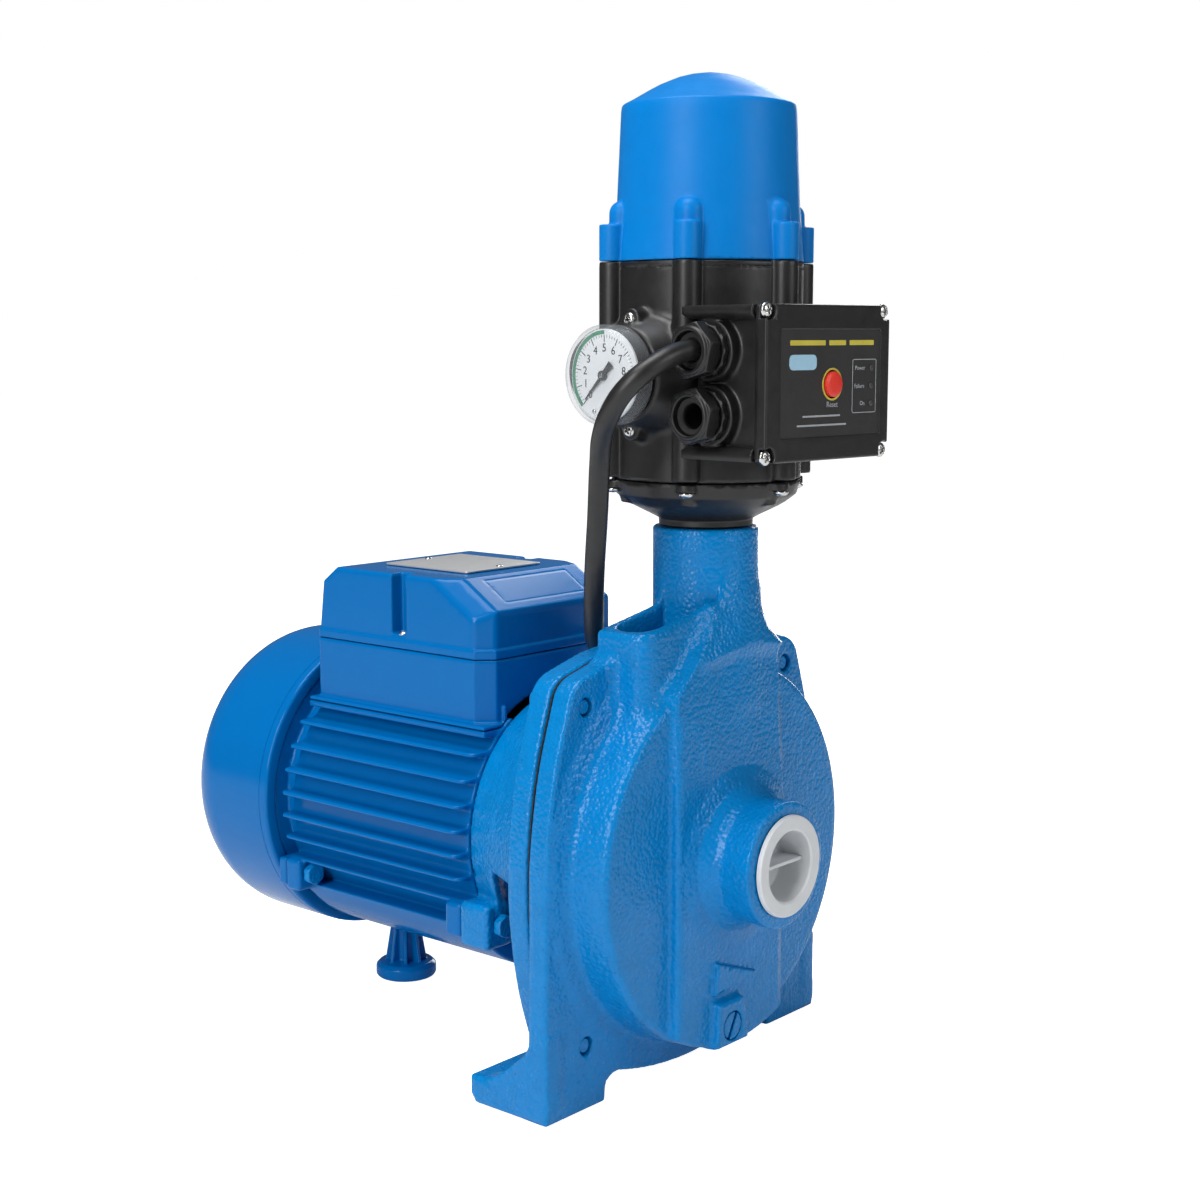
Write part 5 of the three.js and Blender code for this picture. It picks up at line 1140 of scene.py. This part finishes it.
def electronics_box():
    left, bottom, right, top = PANEL
    low, high = bottom + 2, top - 2
    f = Field((-42, -60, low), (37, -16, high), 0.5)
    shell = f.box((-36, HOUSING_FRONT, low), (36, -18, high), edge=0.7)
    for at in corner_screws():
        shell = soft_min(shell, f.bar("y", 3.7, HOUSING_FRONT, -18, at, edge=0.3), 0.9)
    for height in GLAND_HEIGHTS.values():
        at = (-GLAND_FORWARD, height)
        shell = soft_min(shell, f.bar("x", 12.2, -40.5, -30, at, edge=0.8, end_radius=13.6), 1.5)
    around_body = f.bar("z", BODY_RADIUS + 0.5, 0, 200)
    for angle in BOSSES:
        boss = f.bar("z", BOSS_RADIUS + 0.5, 0, 200, around(BOSS_CIRCLE, angle))
        around_body = np.minimum(around_body, boss)
    room = np.maximum(f.box((-33.5, -70, low + 2.5), (33.5, -20.5, high - 2.5)), 3 - around_body)
    for at in corner_screws():
        room = np.maximum(room, -f.bar("y", 3.5, -70, -10, at))
    f.add(np.maximum(shell, -room))
    f.cut(around_body)
    for height in GLAND_HEIGHTS.values():
        f.cut(f.bar("x", 8.6, -45, -30, (-GLAND_FORWARD, height)))
    field_piece("electronics_box", f, "black_plastic", CONTROL, replaced=["control_box_housing"])

    g = Field((left, PANEL_FRONT, bottom), (right, -59.9, top), 0.4)
    g.add(g.slab("y", rectangle(*PANEL, 2.2), PANEL_FRONT, -60, edge=0.9))
    g.cut(g.slab("y", rectangle(*LABEL, 1), PANEL_FRONT - 2, PANEL_FRONT + 0.6), 0.25)
    g.cut(g.bar("y", 5.5, -70, -50, BUTTON))
    for at in corner_screws():
        g.cut(g.bar("y", 3.75, -70, PANEL_FRONT + 3.4, at), 0.5)
        g.cut(g.bar("y", 1.9, -70, -50, at))
    field_piece("electronics_cover", g, "black_plastic", CONTROL, replaced=["control_box_cover"])
    for i, (x, z) in enumerate(corner_screws()):
        node = f"cover_screw_{i + 1}"
        where = facing_matrix(CONTROL, (x, PANEL_FRONT + 2.9, z), "-y", 0.3 + 0.7 * i)
        pan_screw(f"{node}_pan", where, 3.1, 2.2, replaced=[node], shank=(1.4, 12))


def printed(name, outlines, matrix, depth, axis, look, slot):
    """Flat ink: outlines a tenth of a millimetre thick."""
    low, high = depth - INK, depth + INK
    meshes = [prism_mesh("ink", outline, low, high, matrix, axis) for outline in outlines]
    return piece_from(name, joined(name, meshes), slot, look)


def annulus(inner, outer, start, end, centre=(0, 0), steps=48):
    """A closed band between two radii, with its angles in degrees."""
    angles = [math.radians(start + (end - start) * k / steps) for k in range(steps + 1)]

    def arc(radius, order):
        return [(centre[0] + radius * math.cos(a), centre[1] + radius * math.sin(a)) for a in order]

    return arc(outer, angles) + arc(inner, angles[::-1])


def lettering(name, words, look, slot):
    """Raised ink words: (text, matrix, size, align)."""
    meshes = []
    for text, matrix, size, align in words:
        data = bpy.data.curves.new("word", "FONT")
        data.body = text
        data.size = size
        data.align_x = align
        data.align_y = "CENTER"
        data.extrude = 0.05
        data.resolution_u = 3
        word = linked("word", data)
        bpy.context.view_layer.update()
        graph = bpy.context.evaluated_depsgraph_get()
        mesh = bpy.data.meshes.new_from_object(word.evaluated_get(graph))
        mesh.transform(matrix)
        meshes.append(mesh)
        bpy.data.objects.remove(word)
        bpy.data.curves.remove(data)
    return piece_from(name, joined(name, meshes), slot, look)


def on_label(x, z):
    turn = Matrix(((1, 0, 0, 0), (0, 0, -1, 0), (0, 1, 0, 0), (0, 0, 0, 1)))
    return CONTROL @ Matrix.Translation((x, LABEL_FACE - 0.02, z)) @ turn


def label():
    film = prism_mesh("label_film", rectangle(*LABEL, 0.8), LABEL_FACE, -65.36, CONTROL, "y")
    film = piece_from("label_film", film, "black_plastic", LABEL_BLACK)
    carve(film, prism_mesh("hole", disc(5.6, BUTTON), -70, -60, CONTROL, "y"))

    def print_on(name, outlines, look, slot):
        printed(name, outlines, CONTROL, LABEL_FACE, "y", look, slot)

    title = [rectangle(a, 76.2, b, 78.2, 0.4) for a, b in ((-25.7, -3.6), (-1.2, 9.6), (12.0, 28.1))]
    print_on("label_yellow_print", title + [annulus(5.7, 6.5, 0, 359.9, BUTTON)], PRINT_YELLOW, "plate")
    print_on("label_badge", [rectangle(-26.2, 66.6, -9.0, 72.6, 2.6)], PRINT_BLUE, "white_plastic")

    x0, z0, x1, z1 = LAMP_FRAME
    w = 0.3
    lines = [
        rectangle(x0 + 1, z1 - w, x1 - 1, z1),
        rectangle(x0 + 1, z0, x1 - 1, z0 + w),
        rectangle(x0, z0 + 1, x0 + w, z1 - 1),
        rectangle(x1 - w, z0 + 1, x1, z1 - 1),
    ]
    centres = ((x1 - 1, z1 - 1), (x0 + 1, z1 - 1), (x0 + 1, z0 + 1), (x1 - 1, z0 + 1))
    for quarter, centre in enumerate(centres):
        lines.append(annulus(1 - w, 1, 90 * quarter, 90 * quarter + 90, centre, 6))
    lines += [rectangle(-17.5, 48.0, 6.5, 48.7, 0.3), rectangle(-21, 44.4, 10.5, 45.1, 0.3)]
    print_on("label_white_print", lines, PRINT_WHITE, "white_plastic")

    starts = (("Power", 16.0), ("Failure", 15.5), ("On", 19.4))
    words = [(text, on_label(x, z), 2.5, "LEFT") for (text, x), z in zip(starts, LAMP_HEIGHTS)]
    words.append(("Reset", on_label(BUTTON[0], 52.7), 3.2, "CENTER"))
    lettering("label_words", words, PRINT_WHITE, "white_plastic")
    dome = rounded([(0, 0), (1.25, 0, 0.2), (1.1, 0.5, 0.4), (0, 0.62)])
    for i, z in enumerate(LAMP_HEIGHTS):
        lens = lathe_mesh("lamp", dome, facing_matrix(CONTROL, (26.6, LABEL_FACE, z), "-y"), sides=32)
        piece_from(f"lamp_{i + 1}", lens, "black_plastic", DARK_LAMP)


def reset_button():
    crown = [(0, -58), (7, -58), (7, -59.3), (5.1, -59.4), (5.1, PANEL_FRONT - 0.9, 0.6)]
    crown += curve((4.4, PANEL_FRONT - 1.2), (2.5, PANEL_FRONT - 1.5), (0, PANEL_FRONT - 1.4))
    mesh = lathe_mesh("button", rounded(crown), CONTROL, "y", (BUTTON[0], 0, BUTTON[1]), 72)
    piece_from("button_moulding", mesh, "red_plastic", body="reset", replaced=["reset_button"])


def gland(which, height):
    at = (-GLAND_FORWARD, height)
    with_cable = which == "upper"
    low = (at[0] - 12.5, height - 12.5)
    high = (at[0] + 12.5, height + 12.5)
    f = Field((-47.6, *low), (-30, *high), 0.3)
    f.add(f.bar("x", 8.2, -47.5, -30, at))
    thread = np.abs(((f.axes["x"] + 47.5) % 1.5) - 0.75) - 0.4
    f.add(np.maximum(f.bar("x", 8.9, -47.4, -43.2, at), -thread), 0.4)
    f.add(f.bar("x", 10.4, -43.6, -40.7, at, edge=0.5), 0.4)
    # Grip ribs round the collar.
    u, v = f.axes["y"] - at[0], f.axes["z"] - height
    rib = np.cos(np.arctan2(v, u) * 12) * 0.45
    f.add(np.maximum(np.hypot(u, v) - 10.5 - rib, np.abs(f.axes["x"] + 42.1) - 1.1), 0.3)
    f.cut(f.bar("x", CABLE_DIAMETER / 2 + 0.3 if with_cable else 6, -60, -20, at), 0.5)
    field_piece(f"{which}_gland_base", f, "black_plastic", CONTROL, replaced=[f"{which}_gland_body"])

    g = Field((-53.4, *low), (-44.4, *high), 0.3)
    nut = g.hexagon("x", 20.5, -52.0, -46.4, at, edge=0.5, turn=0.25)
    chamfer = g.turned("x", [(0, -53), (10.2, -53), (11.9, -50.9), (11.9, -44), (0, -44)], at)
    g.add(soft_max(nut, chamfer, 0.3))
    g.add(g.bar("x", 9.5, -53.0, -51, at, edge=0.9), 0.6)
    g.add(g.bar("x", 9.6, -47, -44.5, at, edge=0.4), 0.3)
    g.cut(g.bar("x", 7.6, -60, -40, at), 0.8)
    g.cut(g.bar("x", 9.2, -46.2, -40, at))
    field_piece(f"{which}_gland_hexagon", g, "black_plastic", CONTROL, replaced=[f"{which}_gland_nut"])

    # The clamping seal inside the nut.
    hole = CABLE_DIAMETER / 2 + 0.1 if with_cable else 5.2
    seal = [(hole, -48), (7.4, -48), (7.4, -51.0, 1), (hole + 0.8, -50.4, 0.8), (hole, -49.6)]
    ring = lathe_mesh("seal", rounded(seal, closed=True), CONTROL, "x", (0, at[0], height), 64)
    piece_from(f"{which}_gland_seal", ring, "rubber")


# ---------------------------------------------------------------- pressure gauge
DIAL_HEIGHT = 61
DIAL_RADIUS = 18.6
DIAL_UNIT = 27  # degrees for one division, from the lower left clockwise


def dial_angle(value):
    return math.radians(225 - DIAL_UNIT * value)


def on_dial(radius, value):
    angle = dial_angle(value)
    return (radius * math.sin(angle), -radius * math.cos(angle))


def gauge():
    case = [(0, 50.5), (17.6, 50.5), (18.2, 52.4, 0.8), (18.3, 60.4, 0.3), (16.8, 60.4)]
    case += [(16.8, 54), (0, 54)]
    body = lathe_mesh("gauge_cup", rounded(case), GAUGE)
    stem = lathe_mesh("stem", [(0, 36), (5, 36), (5, 51), (0, 51)], GAUGE, sides=48)
    piece_from("gauge_cup", joined("gauge_cup", [body, stem]), "black_plastic", replaced=["gauge_case"])
    front = DIAL_HEIGHT + 0.9
    face = rounded([(1.2, DIAL_HEIGHT), (18.5, DIAL_HEIGHT), (18.5, front, 0.3), (1.2, front)])
    plate = lathe_mesh("dial_plate", face, GAUGE)
    piece_from("dial_plate", plate, "white_plastic", DIAL_WHITE, replaced=["gauge_dial"])
    print_height = DIAL_HEIGHT + 0.95

    marks = []
    for k in range(51):
        value = k / 5
        angle = dial_angle(value)
        long = k % 5 == 0
        inner, outer = (13.2, 16.2) if long else (15.0, 16.2)
        half = 0.17 if long else 0.08
        cross = (half * math.cos(angle), half * math.sin(angle))
        ends = (on_dial(inner, value), on_dial(outer, value))
        near = [(x - cross[0], y - cross[1]) for x, y in ends]
        far = [(x + cross[0], y + cross[1]) for x, y in reversed(ends)]
        marks.append(near + far)
    printed("dial_marks", marks, GAUGE, print_height, "z", PRINT_BLACK, "black_plastic")
    # In the gauge's frame, 0 at the lower left is at 135 degrees from +X towards +Y.
    band = [annulus(16.4, 18.0, 135, 0)]
    printed("dial_band", band, GAUGE, print_height, "z", PRINT_GREEN, "green_board")
    upright = Matrix(((0, 1, 0, 0), (-1, 0, 0, 0), (0, 0, 1, 0), (0, 0, 0, 1)))
    words = []
    for value in range(11):
        x, y = on_dial(10.9, value)
        where = GAUGE @ Matrix.Translation((x, y, print_height)) @ upright
        words.append((str(value), where, 4.7, "CENTER"))
    lettering("dial_numbers", words, PRINT_BLACK, "black_plastic")
    for i, value in enumerate((-0.9, 10.9)):
        x, y = on_dial(15.3, value)
        where = GAUGE @ Matrix.Translation((x, y, print_height))
        pan_screw(f"dial_rivet_{i + 1}", where, 1.0, 0.7, recess=False)

    turn = GAUGE @ Matrix.Rotation(math.radians(45), 4, "Z")
    blade = [(-1.5, -6.5), (1.5, -6.5), (0.9, 0), (0.25, 13.8), (-0.25, 13.8), (-0.9, 0)]
    pointer = prism_mesh("pointer", blade, DIAL_HEIGHT + 1.7, DIAL_HEIGHT + 2.2, turn, "z", bevel=0.1)
    post = [(0, -3), (0.8, -3), (0.8, 1.4), (2.0, 1.4), (2.0, 3.0, 0.5), (0, 3.1)]
    post = [(r, DIAL_HEIGHT + h, *curving) for r, h, *curving in post]
    hub = lathe_mesh("hub", rounded(post), GAUGE, sides=40)
    whole = joined("pointer", [pointer, hub])
    piece_from("pointer", whole, "black_plastic", body="needle", replaced=["gauge_needle"])
    tip = rounded([(0, 64.0), (1.0, 64.0), (1.0, 64.35, 0.2), (0, 64.4)])
    pin = lathe_mesh("pin", tip, GAUGE, sides=32)
    piece_from("pointer_pin", pin, "steel", body="needle")

    lens = [(18.9, 55), (20.2, 55, 0.3), (20.2, 63.2, 2.2), (18.2, 66.0, 2), (14, 66.4), (0, 66.4)]
    lens += [(0, 65.0), (13.8, 65.0), (17.3, 64.4, 1.5), (18.9, 62.4)]
    cup = lathe_mesh("lens_cup", rounded(lens), GAUGE)
    piece_from("lens_cup", cup, "clear_plastic", clear_look(), replaced=["gauge_lens"])


def clear_look():
    """Clear plastic: it lets light through to the dial and reflects more at a slant."""
    made, tree, shader = new_look("clear_cover")
    link = tree.links.new
    set_inputs(shader, {"Base Color": (0.4, 0.42, 0.44, 1), "Roughness": 0.05, "IOR": 1.5})
    through = tree.nodes.new("ShaderNodeBsdfTransparent")
    set_inputs(through, {"Color": (0.97, 0.975, 0.98, 1)})
    slant = tree.nodes.new("ShaderNodeLayerWeight")
    set_inputs(slant, {"Blend": 0.35})
    mix = tree.nodes.new("ShaderNodeMixShader")
    link(remap(tree, slant.outputs["Facing"], 0.02, 0.45), mix.inputs["Fac"])
    link(through.outputs["BSDF"], mix.inputs[1])
    link(shader.outputs["BSDF"], mix.inputs[2])
    link(mix.outputs["Shader"], tree.nodes["Material Output"].inputs["Surface"])
    return made


# ---------------------------------------------------------------- assembly
casing()
drain_plug()
transit_plug()
gasket()
bracket()
bolts()
motor_frame()
rear_shield()
fan_cover()
motor_foot()
box_base()
box_lid()
box_gland = box_details()
inlet_flange()
control_body()
control_cap()
electronics_box()
label()
reset_button()
for which, height in GLAND_HEIGHTS.items():
    gland(which, height)
gauge()

# The pieces that stay as they are in CAD take the procedural finish of their slot.
slots = {part["node"]: part["material_slot"] for part in frame["record"]["subparts"]}
for name, node in frame["nodes"].items():
    node.data.materials.clear()
    node.data.materials.append(LOOKS[slots[name]])


# ---------------------------------------------------------------- studio
MIDDLE = (0, 0, 0.2)
FLOOR = 8  # half its side


def area_light(name, spot, size, power):
    """A softbox that faces the middle of the pump."""
    data = bpy.data.lights.new(name, "AREA")
    data.shape = "RECTANGLE"
    data.size, data.size_y = size
    data.energy = power
    lamp = linked(name, data)
    lamp.location = spot
    lamp.rotation_euler = (Vector(MIDDLE) - Vector(spot)).to_track_quat("-Z", "Y").to_euler()


area_light("left_softbox", (-1.7, -0.2, 1.0), (0.7, 1.3), 25)
area_light("front_softbox", (0.3, -1.9, 0.9), (0.8, 0.9), 10)
area_light("top_softbox", (-0.3, 0.1, 1.9), (1.1, 1.1), 27)
area_light("right_strip", (1.3, 0.5, 0.7), (0.35, 1.4), 9)

world = bpy.data.worlds.new("studio")
world.use_nodes = True
scene.world = world
backdrop = world.node_tree.nodes["Background"]
set_inputs(backdrop, {"Color": (1, 1, 1, 1)})


def brighter_to_camera(tree, socket, low, high):
    """A strength of high to look at, which lights the object with low only."""
    path = tree.nodes.new("ShaderNodeLightPath")
    tree.links.new(remap(tree, path.outputs["Is Camera Ray"], low, high), socket)


brighter_to_camera(world.node_tree, backdrop.inputs["Strength"], 0.1, 1.0)

floor_look, floor_tree, pale = new_look("pale_floor")
set_inputs(pale, {"Base Color": (0.86, 0.86, 0.86, 1), "Roughness": 0.8, "Emission Color": (1, 1, 1, 1)})
brighter_to_camera(floor_tree, pale.inputs["Emission Strength"], 0.05, 0.96)
floor_mesh = bpy.data.meshes.new("floor")
corners = [(-FLOOR, -FLOOR, 0), (FLOOR, -FLOOR, 0), (FLOOR, FLOOR, 0), (-FLOOR, FLOOR, 0)]
floor_mesh.from_pydata(corners, [], [(0, 1, 2, 3)])
floor_mesh.materials.append(floor_look)
floor = linked("floor", floor_mesh)
floor.location.z = -0.0003

scene.view_settings.view_transform = "Standard"
